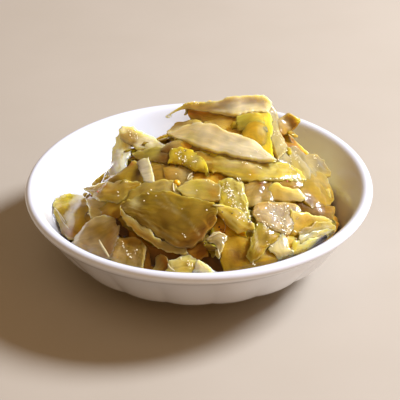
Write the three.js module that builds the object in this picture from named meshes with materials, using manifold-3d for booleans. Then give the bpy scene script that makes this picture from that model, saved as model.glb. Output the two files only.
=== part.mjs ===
// A small fluted porcelain side dish heaped with pickled mustard greens.
// Millimetres, +Z up, origin at the centre of the foot ring on the table.
// -Y is the side the dish is looked at from, +X is to the right of it.

import * as THREE from 'three';
import { mergeVertices } from 'three/addons/utils/BufferGeometryUtils.js';
import Module from 'manifold-3d';

const wasm = await Module();
wasm.setup();

// ---- driving dimensions -------------------------------------------------------------------

// The dish. Heights are above the table.
const RIM_RADIUS = 60;        // widest circle of the rolled lip
const RIM_LEVEL = 27;         // height of that circle
const HEIGHT = 28.5;          // top of the lip
const FOOT_RADIUS = 27.5;     // outer edge of the foot ring
const FOOT_WIDTH = 3;         // flat ring that stands on the table
const FOOT_RISE = 2.4;        // how far the underside is raised inside the foot ring
const FLOOR = 6;              // inside floor of the dish
const LOBES = 20;             // shallow flutes round the outside
const LOBE_DEPTH = 0.8;       // depth of the creases between them
const LOBE_FULLNESS = 0.7;    // below 1, the lobes are full and the creases narrow
const LOBE_TURN = THREE.MathUtils.degToRad(4.7);  // one crease is this far right of the front
const STEPS_PER_LOBE = 4;
const HOLLOW_STEPS = 40;      // facets round the underside of the greens

// The heap of greens.
const GAP = 0.35;             // clearance between greens and glaze
const HEAP_CENTRE = [8, 0];
const HEAP_BASE = 8;          // height at which the heap meets the dish at its foot
const HEAP_RISE = 36;         // rise of the heap above that
const HEAP_FLATNESS = 2.2;    // higher, and the top is flatter
const HEAP_STEEPNESS = 0.6;   // lower, and the foot is steeper
const HEAP_REACH = [43, 40, 36, 44, 58, 67, 64, 59];  // radius each 45 degrees, from +X towards +Y
const CROWN = { x: 20, y: 8, rise: 9, spread: 13 };   // extra height under the topmost pieces
const CORE_SINK = 2.5;        // the core lies this far below the pieces' outer faces
const CORE_RINGS = 7;
const CORE_SPOKES = 24;
const SLIVER = 0.02;          // joins leave slivers narrower than this, which are smoothed away

// The eye that the pieces are laid out for: it looks along +Y and down on the dish.
const EYE_HEIGHT = 31.1;      // degrees above the table
const EYE_ROLL = 0.76;        // degrees, right side low
const BACK_EYE_HEIGHT = 45;   // for the pieces on the far side
const EYE_DISTANCE = 450;
const EYE_TARGET = new THREE.Vector3(0.3, 0, 20);

// ---- helpers ------------------------------------------------------------------------------

// Keeps only positions, welds them and drops triangles that have shrunk to a line.
function weld(geometry) {
  geometry.deleteAttribute('normal');
  geometry.deleteAttribute('uv');
  const welded = mergeVertices(geometry, 1e-4);
  const index = [...welded.index.array];
  const kept = [];
  for (let i = 0; i < index.length; i += 3) {
    const [a, b, c] = index.slice(i, i + 3);
    if (a !== b && b !== c && c !== a) {
      kept.push(a, b, c);
    }
  }
  welded.setIndex(kept);
  return welded;
}

// Six times the volume that the triangles enclose, negative where they face inwards.
function signedVolume(geometry) {
  const place = geometry.attributes.position;
  const index = geometry.index.array;
  const corner = [new THREE.Vector3(), new THREE.Vector3(), new THREE.Vector3()];
  let volume = 0;
  for (let i = 0; i < index.length; i += 3) {
    corner.forEach((point, k) => point.fromBufferAttribute(place, index[i + k]));
    volume += corner[0].dot(corner[1].clone().cross(corner[2]));
  }
  return volume;
}

// A welded closed geometry with its faces turned outwards.
function closed(geometry) {
  const welded = weld(geometry);
  if (signedVolume(welded) < 0) {
    welded.setIndex([...welded.index.array].reverse());
  }
  return welded;
}

function toSolid(geometry) {
  const vertProperties = new Float32Array(geometry.attributes.position.array);
  const triVerts = new Uint32Array(geometry.index.array);
  return new wasm.Manifold(new wasm.Mesh({ numProp: 3, vertProperties, triVerts }));
}

function toGeometry(solid) {
  const mesh = solid.getMesh();
  const geometry = new THREE.BufferGeometry();
  geometry.setAttribute('position', new THREE.BufferAttribute(mesh.vertProperties, 3));
  geometry.setIndex([...mesh.triVerts]);
  return geometry;
}

// Closed grid of quads between two sheets of points, each sheet[row][column].
function betweenSheets(front, back) {
  const rows = front.length;
  const columns = front[0].length;
  const points = [...front.flat(), ...back.flat()];
  const at = (side, row, column) => side * rows * columns + row * columns + column;
  const faces = [];
  const quad = (a, b, c, d) => faces.push(a, b, c, a, c, d);
  for (let i = 0; i + 1 < rows; i += 1) {
    for (let j = 0; j + 1 < columns; j += 1) {
      quad(at(0, i, j), at(0, i + 1, j), at(0, i + 1, j + 1), at(0, i, j + 1));
      quad(at(1, i, j), at(1, i, j + 1), at(1, i + 1, j + 1), at(1, i + 1, j));
    }
    const last = columns - 1;
    quad(at(0, i, 0), at(1, i, 0), at(1, i + 1, 0), at(0, i + 1, 0));
    quad(at(0, i, last), at(0, i + 1, last), at(1, i + 1, last), at(1, i, last));
  }
  for (let j = 0; j + 1 < columns; j += 1) {
    const last = rows - 1;
    quad(at(0, 0, j), at(0, 0, j + 1), at(1, 0, j + 1), at(1, 0, j));
    quad(at(0, last, j), at(1, last, j), at(1, last, j + 1), at(0, last, j + 1));
  }
  const geometry = new THREE.BufferGeometry().setFromPoints(points);
  geometry.setIndex(faces);
  return closed(geometry);
}

// ---- the dish -----------------------------------------------------------------------------

// Outline from the axis under the dish, round the lip and back to the axis inside:
// radius, height and how much of the flutes' depth shows there.
const OUTSIDE = [
  [0, FOOT_RISE, 0],
  [FOOT_RADIUS - FOOT_WIDTH - 1, FOOT_RISE, 0],
  [FOOT_RADIUS - FOOT_WIDTH, 0, 0],
  [FOOT_RADIUS, 0, 0],
  [FOOT_RADIUS + 1.2, 2.6, 0],
  [34, 3.5, 0.3],
  [40, 5, 0.7],
  [44.3, 6.9, 1],
  [47, 8.6, 1],
  [48.9, 10.4, 1],
  [52.3, 15.1, 1],
  [55.5, 20.2, 0.6],
  [57.3, 23.1, 0],
  [59.4, RIM_LEVEL - 1.4, 0],
  [RIM_RADIUS, RIM_LEVEL, 0],
  [59.3, HEIGHT - 0.4, 0],
  [58, HEIGHT, 0],
];
const INSIDE = [
  [56.6, 27.9],
  [55.3, 26.4],
  [51.4, 20.2],
  [48, 15.1],
  [44.6, 11],
  [41.5, 8.9],
  [37, 7.4],
  [30, 6.5],
  [18, FLOOR + 0.1],
  [0, FLOOR],
];

// Surface of revolution about +Z from [radius, height] points.
function turned(outline, segments) {
  const profile = outline.map(([radius, height]) => new THREE.Vector2(radius, height));
  const geometry = new THREE.LatheGeometry(profile, segments);
  geometry.rotateX(Math.PI / 2);
  return geometry;
}

function bowlGeometry() {
  const outline = [...OUTSIDE, ...INSIDE.map(([radius, height]) => [radius, height, 0])];
  const geometry = turned(outline, LOBES * STEPS_PER_LOBE);
  geometry.rotateZ(LOBE_TURN);
  const place = geometry.attributes.position;
  const front = -Math.PI / 2 + LOBE_TURN;
  for (let i = 0; i < place.count; i += 1) {
    const share = outline[i % outline.length][2];
    const x = place.getX(i);
    const y = place.getY(i);
    const turn = Math.atan2(y, x) - front;
    const crease = 1 - Math.abs(Math.sin((turn * LOBES) / 2)) ** LOBE_FULLNESS;
    const shrink = 1 - (share * LOBE_DEPTH * crease) / Math.max(Math.hypot(x, y), 1);
    place.setXY(i, x * shrink, y * shrink);
  }
  return closed(geometry);
}

// The room for the greens: the inside of the dish less the gap, carried straight up from the lip.
function hollowSolid() {
  const inner = INSIDE.slice(1).reverse().map(
    ([radius, height]) => [Math.max(radius - GAP, 0), height + GAP]);
  const top = 2 * (HEAP_BASE + HEAP_RISE);
  const outline = [...inner, [inner.at(-1)[0], top], [0, top]];
  const geometry = turned(outline, HOLLOW_STEPS);
  geometry.rotateZ(LOBE_TURN);
  return toSolid(closed(geometry));
}

// ---- the form of the heap -----------------------------------------------------------------

function heapReach(angle) {
  const step = (2 * Math.PI) / HEAP_REACH.length;
  const turn = THREE.MathUtils.euclideanModulo(angle, 2 * Math.PI) / step;
  const from = Math.floor(turn) % HEAP_REACH.length;
  const share = (1 - Math.cos(Math.PI * (turn - Math.floor(turn)))) / 2;
  return THREE.MathUtils.lerp(HEAP_REACH[from], HEAP_REACH[(from + 1) % HEAP_REACH.length], share);
}

// Height of the heap's surface over the point x, y.
function heapHeight(x, y) {
  const dx = x - HEAP_CENTRE[0];
  const dy = y - HEAP_CENTRE[1];
  const out = Math.hypot(dx, dy) / heapReach(Math.atan2(dy, dx));
  const dome = HEAP_BASE + HEAP_RISE * Math.max(1 - out ** HEAP_FLATNESS, 0) ** HEAP_STEEPNESS;
  const fromCrown = (x - CROWN.x) ** 2 + (y - CROWN.y) ** 2;
  return dome + CROWN.rise * Math.exp(-fromCrown / (2 * CROWN.spread ** 2));
}

// Solid under the heap's surface, sunk a little, on a flat bottom below the dish's floor.
function coreSolid() {
  const bottom = FLOOR - 2;
  const sheet = (height) => {
    const rows = [];
    for (let i = 0; i <= CORE_RINGS; i += 1) {
      const row = [];
      for (let j = 0; j <= CORE_SPOKES; j += 1) {
        const angle = (2 * Math.PI * (j % CORE_SPOKES)) / CORE_SPOKES;
        const radius = (RIM_RADIUS * i) / CORE_RINGS;
        const x = radius * Math.cos(angle);
        const y = radius * Math.sin(angle);
        row.push(new THREE.Vector3(x, y, height(x, y)));
      }
      rows.push(row);
    }
    return rows;
  };
  const top = sheet((x, y) => Math.max(heapHeight(x, y) - CORE_SINK, FLOOR));
  return toSolid(betweenSheets(top, sheet(() => bottom)));
}

// A view of the heap: u to the right and v up in the picture, w towards the eye, in mm where
// the target is. A piece keeps its outline in the picture whatever its depth w.
class Sight {
  constructor(azimuth, height, roll) {
    const turn = THREE.MathUtils.degToRad(azimuth);
    const rise = THREE.MathUtils.degToRad(height);
    const lean = THREE.MathUtils.degToRad(roll);
    const level = new THREE.Vector3(Math.cos(turn), Math.sin(turn), 0);
    this.toward = new THREE.Vector3(
      Math.sin(turn) * Math.cos(rise), -Math.cos(turn) * Math.cos(rise), Math.sin(rise));
    this.right = level.applyAxisAngle(this.toward, -lean);
    this.up = this.toward.clone().cross(this.right);
  }

  point(u, v, w) {
    const near = 1 - w / EYE_DISTANCE;
    return EYE_TARGET.clone()
      .addScaledVector(this.right, u * near)
      .addScaledVector(this.up, v * near)
      .addScaledVector(this.toward, w);
  }

  // Depth at which the line of sight through u, v meets the heap, or passes it closest.
  seat(u, v) {
    let best = 0;
    let closest = -Infinity;
    for (let w = 60; w > -60; w -= 0.5) {
      const { x, y, z } = this.point(u, v, w);
      const inside = Math.hypot(x, y) < RIM_RADIUS ? heapHeight(x, y) - z : -Infinity;
      if (inside > 0) {
        return w;
      }
      if (inside > closest) {
        closest = inside;
        best = w;
      }
    }
    return best;
  }
}

// ---- the pieces of leaf and stem ----------------------------------------------------------

const SLOPE_STEP = 5;         // mm either side over which a piece takes the heap's slope
const SLOPE_LIMIT = 1.3;
const CELL = 4.2;             // size of the facets
const EDGE_SHARE = 0.6;       // thickness at the long edges, as a share of the middle's

const railCurve = (rail) => new THREE.CatmullRomCurve3(
  rail.map(([u, v]) => new THREE.Vector3(u, v, 0)), false, 'centripetal');

// One piece: a slab between two rails given in the picture, lying on the heap.
// thick is its thickness, proud its height above the heap, lean and turn tip its top and its
// right side away (degrees) and cup bulges its middle out.
function slabSolid(sight, { up, low, thick, proud = 0, lean = 0, turn = 0, cup = 1 }) {
  const rails = [railCurve(up), railCurve(low)];
  const middle = rails[0].getPointAt(0.5).lerp(rails[1].getPointAt(0.5), 0.5);
  const seat = (du, dv) => sight.seat(middle.x + du, middle.y + dv);
  const slope = (before, after, tip) =>
    THREE.MathUtils.clamp((after - before) / (2 * SLOPE_STEP), -SLOPE_LIMIT, SLOPE_LIMIT)
    - Math.tan(THREE.MathUtils.degToRad(tip));
  const slopeU = slope(seat(-SLOPE_STEP, 0), seat(SLOPE_STEP, 0), turn);
  const slopeV = slope(seat(0, -SLOPE_STEP), seat(0, SLOPE_STEP), lean);
  const depth = seat(0, 0) + proud;

  const length = Math.max(rails[0].getLength(), rails[1].getLength());
  const width = rails[0].getPointAt(0.5).distanceTo(rails[1].getPointAt(0.5));
  const rows = THREE.MathUtils.clamp(Math.round(length / CELL), 3, 9);
  const columns = THREE.MathUtils.clamp(Math.round(width / CELL), 2, 4);
  const front = [];
  for (let i = 0; i <= rows; i += 1) {
    const s = i / rows;
    const ends = rails.map((rail) => rail.getPointAt(s));
    const row = [];
    for (let j = 0; j <= columns; j += 1) {
      const t = j / columns;
      const at = ends[0].clone().lerp(ends[1], t);
      const bulge = cup * (4 * t * (1 - t) - 0.5);
      const w = depth + slopeU * (at.x - middle.x) + slopeV * (at.y - middle.y) + bulge;
      row.push(sight.point(at.x, at.y, w));
    }
    front.push(row);
  }
  const back = front.map((row, i) => row.map((point, j) => {
    const along = front[Math.min(i + 1, rows)][j].clone().sub(front[Math.max(i - 1, 0)][j]);
    const across = row[Math.min(j + 1, columns)].clone().sub(row[Math.max(j - 1, 0)]);
    const normal = along.cross(across);
    if (normal.lengthSq() < 1e-6) {
      normal.copy(sight.toward);
    }
    normal.normalize().multiplyScalar(Math.sign(normal.dot(sight.toward)) || 1);
    const share = j === 0 || j === columns ? EDGE_SHARE : 1;
    return point.clone().addScaledVector(normal, -thick * share);
  }));
  return toSolid(betweenSheets(front, back));
}

// Seen from the front, from the crown down to the rim.
const FRONT_PIECES = [
  // crown: a curved rib of stem, its shaded hollow, the arm that falls to the right
  { up: [[-12.3, 29.1], [-6.7, 32.9], [1.8, 34.7], [11.2, 36.4], [21.7, 37.5], [27, 31.2]],
    low: [[-12.3, 28.7], [-6, 31.5], [3.5, 30.8], [14, 31.2], [21.7, 30.8], [27, 30.5]],
    thick: 3, proud: 3, lean: 25, cup: 1.5 },
  { up: [[-5.6, 31.9], [5.3, 31.2], [15.8, 31.5], [21.7, 30.8]],
    low: [[-2.5, 28], [5.3, 27.3], [13.3, 23.8], [20.3, 21]],
    thick: 4, proud: -2, cup: -1 },
  { up: [[23.8, 35.4], [27, 30.8], [28, 25.6], [30.1, 20], [32.2, 15.4]],
    low: [[21.7, 34.7], [21.7, 29.8], [24.5, 25.2], [27, 20], [28, 14.7]],
    thick: 4, proud: 2.5, turn: 20, cup: 1.5 },
  { up: [[21.7, 28], [24.5, 24.5], [27, 19.3], [27.7, 14.7]],
    low: [[16.1, 24.5], [19.3, 21], [23.1, 17.5], [27, 14]],
    thick: 3, proud: 1 },
  { up: [[12.6, 28.7], [15.8, 30.8], [21.7, 29.4]],
    low: [[14, 25.2], [17.5, 24.5], [21.7, 26.6]],
    thick: 3, proud: -1 },
  { up: [[27, 28.7], [29, 29.8], [31.9, 30.5], [34, 29.4], [35, 27]],
    low: [[28, 23.1], [29.8, 22.8], [32.2, 23.5], [34, 25.6], [35, 26.6]],
    thick: 8, proud: 2, cup: 2 },
  // the cream slice of stem and what lies under it
  { up: [[-11.9, 24.2], [-8.4, 26.6], [-2.8, 27.7], [4.2, 27], [11.2, 24.2], [19.6, 20.7], [27.3, 14]],
    low: [[-11.9, 23.8], [-8.4, 21.7], [-1.8, 18.6], [7, 17.5], [14, 16.1], [21.7, 14.4], [27.3, 13.6]],
    thick: 4.5, proud: 4, lean: 10, cup: 1 },
  { up: [[-9.8, 20.7], [-3.5, 19.6], [5.3, 18.2], [14, 16.1]],
    low: [[-7, 17.5], [0, 15.8], [7, 14.7], [15.8, 14]],
    thick: 4, proud: 0.5 },
  // the long leaf ribbon, its curled end and the dark fold under it
  { up: [[-3.5, 17.5], [5.3, 15.8], [15.8, 14.7], [24.5, 14], [32.2, 12.3], [37.8, 7.4]],
    low: [[-4.2, 12.3], [1, 10.5], [7.7, 9.8], [17.5, 7], [28, 7], [37.8, 7]],
    thick: 2.5, proud: 3, cup: 1.5 },
  { up: [[-11.5, 13], [-9.8, 17.2], [-6, 18.2], [-2, 16.5], [1, 14]],
    low: [[-11.5, 12.6], [-7, 13], [-4.2, 12.3], [-1.4, 11.2], [1.8, 11.2]],
    thick: 3.5, proud: 3.5, cup: 2 },
  { up: [[-4.9, 11.2], [1.8, 10.5], [8.8, 9.1], [17.5, 7]],
    low: [[-3.5, 7], [1.8, 6.6], [7.7, 6.3], [14, 5.6]],
    thick: 3.5, proud: -0.5 },
  { up: [[-11.2, 11.9], [-7, 13], [-3.5, 10.5]],
    low: [[-10.2, 5.6], [-7, 5.6], [-3.9, 7]],
    thick: 4, proud: 0.5 },
  // arched strip at the back left, its leg and its arm
  { up: [[-33.3, 7], [-31.5, 13.3], [-30.5, 19.6], [-27.3, 24.5]],
    low: [[-26.6, 9.8], [-25.6, 14.7], [-24.2, 18.9], [-22.8, 20.3]],
    thick: 2.5, proud: -4, lean: -10, cup: 1.5 },
  { up: [[-27.7, 24.2], [-25.9, 25.9], [-21, 24.2], [-16.8, 23.1], [-13, 19.6]],
    low: [[-26.6, 19.3], [-23.1, 18.9], [-19.3, 18.2], [-15.8, 18.2], [-13, 18.6]],
    thick: 4, proud: -1, cup: 1.5 },
  // small leaves and strips on the left shoulder
  { up: [[-24.2, 16.5], [-21, 17.9], [-15.8, 18.2], [-11.2, 19.3], [-6.7, 21]],
    low: [[-24.2, 16.2], [-20.3, 14.7], [-16.8, 13], [-11.2, 15], [-5.6, 18.6]],
    thick: 3, proud: 2 },
  { up: [[-22.4, 13.7], [-21, 10.5], [-19.6, 6.7]],
    low: [[-17.9, 14.7], [-17.2, 10.5], [-15.4, 7]],
    thick: 3.5, proud: 1 },
  { up: [[-32.6, 8], [-28, 9.8], [-23.5, 13.3], [-21.7, 11.2], [-20, 7]],
    low: [[-32.6, 7.7], [-28.7, 7], [-24.5, 7], [-21.7, 6.7], [-20, 6.7]],
    thick: 3, proud: 1.5 },
  { up: [[-17.5, 11.9], [-14.7, 13.7], [-9.8, 14]],
    low: [[-16.5, 7.7], [-14, 7.7], [-10.5, 10.5]],
    thick: 4, proud: 0.5 },
  { up: [[-41.3, 4.2], [-36, 5.6], [-28.7, 7], [-22.8, 7]],
    low: [[-39.5, 1], [-34, -0.5], [-29, -1], [-23.5, 2.8]],
    thick: 3, proud: 2.5, cup: 1.5 },
  { up: [[-38.2, 0], [-35, 0.4], [-32.6, -0.7]],
    low: [[-37.5, -4.2], [-35, -3.9], [-32.6, -2.1]],
    thick: 3, proud: 0 },
  // cupped piece and big pale slice against the left wall
  { up: [[-52.2, -1], [-49, 2.1], [-43.4, 2.5], [-38.5, -0.7], [-36.8, -4.6]],
    low: [[-52.2, -1.8], [-50.4, -9.1], [-45.5, -14.4], [-41.3, -10.2], [-36.8, -5.3]],
    thick: 3, proud: 1.5, cup: 2.5 },
  { up: [[-45.2, -14], [-42, -10.2], [-39.9, -7], [-35.7, -5.6], [-30.5, -5.3], [-28.7, -8]],
    low: [[-45.2, -15], [-38.5, -20], [-33.6, -22.5], [-30.8, -21], [-29, -14], [-28.7, -9.1]],
    thick: 4, proud: 2, cup: 0.8 },
  { up: [[-30.5, -15], [-28, -13.3], [-23.8, -14], [-21, -16.8]],
    low: [[-30.8, -23], [-28, -24], [-24.5, -25], [-21.4, -25]],
    thick: 4, proud: 1.5, cup: 1.5 },
  // the broad olive slab at the front and what leans on it
  { up: [[-27.7, -2.8], [-25.2, 0], [-19.3, 4.9], [-12.3, 6.7], [-3.5, 1.8], [4.2, -2.5], [4.9, -7.7]],
    low: [[-27.7, -5.6], [-21, -10.5], [-14, -15], [-8.8, -17.9], [-3.5, -18.2], [1.8, -13.3], [4.9, -9.8]],
    thick: 3.5, proud: 3, lean: -6, cup: 1 },
  { up: [[-7.7, 3.5], [-3.5, 7], [1, 7], [4.6, 3.5]],
    low: [[-7, 2.1], [-3.5, 1], [1, 0.7], [4.2, 0]],
    thick: 3, proud: 3.5 },
  { up: [[7, 7.4], [11.6, 7.7], [15.8, 5.6]],
    low: [[6.7, -1.4], [11.2, -2.8], [16.8, -6.3]],
    thick: 3.5, proud: 2, cup: 1.5 },
  { up: [[4.6, -1.8], [9.1, -1.8], [13.3, -3.9], [18.2, -7.7], [18.9, -9.8]],
    low: [[4.6, -2], [7, -6], [10.5, -9.5], [15, -11.6], [18.9, -10.2]],
    thick: 3, proud: 3.5, cup: 1.5 },
  { up: [[14.4, 3.5], [17.5, 6.7], [21.7, 7], [23.8, 3.5]],
    low: [[15, -1], [17.5, -2.5], [21, -1], [23.5, 0]],
    thick: 4, proud: 1.5, cup: 1.5 },
  { up: [[23.8, 4.2], [26.6, 6.7], [29.8, 5.3], [34.3, 3.2], [37.1, 0.4]],
    low: [[23.8, 0], [28, -0.4], [32.2, -0.4], [37.1, 0]],
    thick: 3, proud: 2.5 },
  // the yellow mass at the right
  { up: [[29, 18.2], [34, 18.6], [40.3, 15.4], [44.5, 13], [45.2, 10.5]],
    low: [[28, 14], [33.3, 11.9], [37.8, 7.7], [41.3, 7.7], [45.2, 9.8]],
    thick: 5, proud: 2, cup: 2 },
  { up: [[35, 7.7], [39.2, 9.8], [42.7, 10.2], [45.5, 5.3], [46.9, 1]],
    low: [[35.7, 0], [38.5, -3.5], [42.7, -2.8], [46.2, -0.7], [46.9, 0.7]],
    thick: 5, proud: 2, cup: 2 },
  { up: [[35, -1.8], [40.3, -2.8], [46.6, -3.9]],
    low: [[35.7, -4.6], [40.6, -5.3], [46.2, -6.3]],
    thick: 3, proud: 0.5 },
  { up: [[18.9, -2.1], [23.8, 0], [29.8, 0], [35, -2.1]],
    low: [[19.6, -8.4], [24.5, -10.5], [30.1, -13.3], [33.3, -8.8]],
    thick: 5, proud: 3, cup: 2 },
  { up: [[32.9, -3.9], [38.5, -4.6], [42.7, -6], [46.2, -7.7]],
    low: [[32.9, -8.4], [35, -10.9], [39.2, -8.4], [46.2, -8]],
    thick: 3.5, proud: 2 },
  { up: [[36.4, -10.5], [40.6, -7], [47.6, -8.8]],
    low: [[37.1, -12.3], [42, -11.2], [46.9, -10.9]],
    thick: 2.5, proud: 2 },
  { up: [[34.3, -14], [39.2, -11.6], [44.1, -10.5], [48.3, -12.6]],
    low: [[35, -16.1], [40.3, -15], [45.5, -14], [48, -14.4]],
    thick: 2.5, proud: 2.5 },
  { up: [[33.6, -16.5], [39.2, -15], [44.8, -14]],
    low: [[35, -19.6], [39.2, -18.6], [43.4, -17.5]],
    thick: 3, proud: 2 },
  // the lower front right
  { up: [[18.6, -7.7], [22.8, -10.5], [28.4, -11.2]],
    low: [[15.4, -17.5], [18.9, -21.7], [23.8, -16.1]],
    thick: 3, proud: 2, cup: 1.5 },
  { up: [[28, -11.2], [23.8, -15], [26.3, -19.3], [29, -23]],
    low: [[29.4, -12.3], [32.2, -15], [32.9, -17.5], [33.6, -21.5]],
    thick: 3.5, proud: 2.5, cup: 1.5 },
  { up: [[7.7, -14], [12.3, -12.3], [17.5, -14], [21.7, -17.5], [29.8, -19.3]],
    low: [[8.8, -23.5], [14, -26], [19.3, -25.5], [25.2, -24.5], [34.3, -22.5]],
    thick: 4, proud: 1, cup: 1.5 },
  { up: [[2.5, -14.7], [4.2, -16.1], [6.3, -20.3]],
    low: [[7.7, -11.2], [9.1, -15], [7.7, -20.7]],
    thick: 2.5, proud: 2.5 },
  // cut pieces along the front rim
  { up: [[-0.4, -20.7], [-2.1, -23.8], [-2.8, -26.3]],
    low: [[1, -21], [4.2, -23.5], [7.4, -26.6]],
    thick: 5, proud: 2 },
  { up: [[-11.5, -22], [-8.8, -20], [-4.9, -18.6], [-0.7, -21.4]],
    low: [[-12.3, -25.2], [-8.8, -26.3], [-3.5, -26.6], [-0.7, -25.9]],
    thick: 4, proud: 2, cup: 1.5 },
  { up: [[-16.1, -25.2], [-16.5, -21.7], [-14.7, -18.9]],
    low: [[-11.2, -25.2], [-11.5, -21.7], [-13.3, -18.9]],
    thick: 3.5, proud: 0.5 },
];

// The side of the heap that faces away: slabs and strips strewn over it in rows.
const BACK_ROWS = [            // height in the picture from behind, first and last place, count
  { v: 9, from: -26, to: -5, count: 3 },
  { v: -4, from: -32, to: 21, count: 5 },
  { v: -15, from: -34, to: 30, count: 5 },
  { v: -27, from: -26, to: 14, count: 3 },
];
const BACK_LENGTH = [15, 24];
const BACK_WIDTH = [7, 11];
const BACK_SLANT = 50;         // most that a piece turns from level, in degrees
const BACK_SHAPE = [0.35, 1, 0.9, 0.25];  // half widths from end to end
const BACK_SEED = 41;

// Repeatable draws between 0 and 1.
function draws(seed) {
  let state = seed;
  return () => {
    state = (state * 1664525 + 1013904223) % 4294967296;
    return state / 4294967296;
  };
}

function strewnPieces() {
  const draw = draws(BACK_SEED);
  const between = (low, high) => low + (high - low) * draw();
  const pieces = [];
  for (const { v, from, to, count } of BACK_ROWS) {
    for (let i = 0; i < count; i += 1) {
      const u = from + ((to - from) * i) / (count - 1) + between(-2, 2);
      const height = v + between(-2, 2);
      const length = between(...BACK_LENGTH);
      const width = between(...BACK_WIDTH);
      const slant = THREE.MathUtils.degToRad(between(-BACK_SLANT, BACK_SLANT));
      const rail = (side) => BACK_SHAPE.map((half, k) => {
        const along = length * (k / (BACK_SHAPE.length - 1) - 0.5);
        const across = (side * half * width) / 2 + between(-0.5, 0.5);
        return [
          u + along * Math.cos(slant) - across * Math.sin(slant),
          height + along * Math.sin(slant) + across * Math.cos(slant),
        ];
      });
      pieces.push({
        up: rail(1),
        low: rail(-1),
        thick: between(2.5, 4.5),
        proud: between(0.5, 2),
        lean: between(-10, 10),
        turn: between(-10, 10),
        cup: between(0.5, 2),
      });
    }
  }
  return pieces;
}

// ---- the assembled dish -------------------------------------------------------------------

const frontSight = new Sight(0, EYE_HEIGHT, EYE_ROLL);
const backSight = new Sight(180, BACK_EYE_HEIGHT, 0);

function greensGeometry() {
  const pieces = [
    ...FRONT_PIECES.map((piece) => slabSolid(frontSight, piece)),
    ...strewnPieces().map((piece) => slabSolid(backSight, piece)),
  ];
  const heap = wasm.Manifold.union([coreSolid(), ...pieces])
    .intersect(hollowSolid())
    .simplify(SLIVER);
  const bodies = heap.decompose().sort((a, b) => b.volume() - a.volume());
  return toGeometry(bodies[0]);
}

function named(name, geometry, material) {
  const mesh = new THREE.Mesh(geometry, material);
  mesh.name = name;
  return mesh;
}

const porcelain = new THREE.MeshStandardMaterial({ color: '#eef2f7', roughness: 0.12, metalness: 0 });
const wetLeaf = new THREE.MeshStandardMaterial({ color: '#b59a2c', roughness: 0.3, metalness: 0 });

const dish = new THREE.Group();
dish.add(named('bowl', bowlGeometry(), porcelain));
dish.add(named('pickled_greens', greensGeometry(), wetLeaf));

export default dish;
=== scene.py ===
"""A small fluted porcelain side dish heaped with pickled mustard greens.

The tables are in millimetres, as a ruler on the dish gives them, and the meshes in metres.
+Z is up, -Y is the side that the dish is looked at from, and the origin is under its foot ring.
"""

from __future__ import annotations

import logging
import math
from collections.abc import Callable, Sequence
from dataclasses import dataclass, field
from enum import Enum

import bmesh
import bpy
import numpy as np
from mathutils import Matrix, Vector
from mathutils.bvhtree import BVHTree

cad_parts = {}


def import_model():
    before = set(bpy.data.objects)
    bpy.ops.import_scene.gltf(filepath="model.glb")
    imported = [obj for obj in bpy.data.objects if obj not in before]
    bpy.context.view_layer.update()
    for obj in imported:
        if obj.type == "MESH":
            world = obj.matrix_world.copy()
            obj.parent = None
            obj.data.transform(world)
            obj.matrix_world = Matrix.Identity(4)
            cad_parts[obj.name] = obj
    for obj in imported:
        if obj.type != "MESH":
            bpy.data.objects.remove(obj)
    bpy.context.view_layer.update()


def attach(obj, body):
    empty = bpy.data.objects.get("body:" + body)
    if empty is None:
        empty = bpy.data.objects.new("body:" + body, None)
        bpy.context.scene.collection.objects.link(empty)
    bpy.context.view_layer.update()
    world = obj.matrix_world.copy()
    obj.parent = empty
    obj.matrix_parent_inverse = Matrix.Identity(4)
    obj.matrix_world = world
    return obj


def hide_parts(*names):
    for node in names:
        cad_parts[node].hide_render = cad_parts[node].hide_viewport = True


LOG = logging.getLogger("side_dish")
MM = 0.001
BODY = "root"
DISH_NODE, DISH_SLOT = "bowl", "glazed_porcelain"
GREENS_NODE, GREENS_SLOT = "pickled_greens", "pickled_leaf"
NO_FACES = np.zeros((0, 3), dtype=int)
NOISE_RANGE = (0.3, 0.7)  # where most of a noise pattern lies

Array = np.ndarray
Spot = tuple[float, float]
Spot3 = tuple[float, float, float]
# A line in the picture: how far right and up each of its points lies, by turns.
Rail = tuple[float, ...]
# A soft spot of colour: most are the tissue's own, a few are painted shade and one is painted light.
Stain = tuple[Spot, float, "Tint"]
Vein = tuple["Tint", Rail]
Thing = bpy.types.Object
Tree = bpy.types.NodeTree
Socket = bpy.types.NodeSocket


# ---- small tools ----


def linear(hue: str) -> tuple[float, float, float, float]:
    """Turns an sRGB hex colour such as "#c0a040" into linear red, green, blue and 1."""
    parts = [int(hue[i : i + 2], 16) / 255 for i in (1, 3, 5)]
    red, green, blue = (p / 12.92 if p <= 0.04045 else ((p + 0.055) / 1.055) ** 2.4 for p in parts)
    return red, green, blue, 1.0


def add_node(
    tree: Tree,
    kind: str,
    settings: dict[str, object] | None = None,
    links: dict[str | int, object] | None = None,
) -> bpy.types.Node:
    """Adds a node with its settings, and fills its inputs.

    Args:
        tree: The node tree that it joins.
        kind: The node's type, such as "ShaderNodeMath".
        settings: The node's own properties.
        links: For each input, by name or number, a socket to link from or a fixed value.

    Returns:
        The new node.
    """
    node = tree.nodes.new(kind)
    for name, value in (settings or {}).items():
        setattr(node, name, value)
    for name, value in (links or {}).items():
        if isinstance(value, Socket):
            tree.links.new(value, node.inputs[name])
        else:
            node.inputs[name].default_value = value
    return node


def product(tree: Tree, first: Socket, second: Socket) -> Socket:
    """Multiplies two values in a tree."""
    return add_node(tree, "ShaderNodeMath", {"operation": "MULTIPLY"}, {0: first, 1: second}).outputs[0]


def spots_of(rail: Rail) -> Array:
    """The points of a rail, one in each row."""
    return np.reshape(np.array(rail, dtype=float), (-1, 2))


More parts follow.
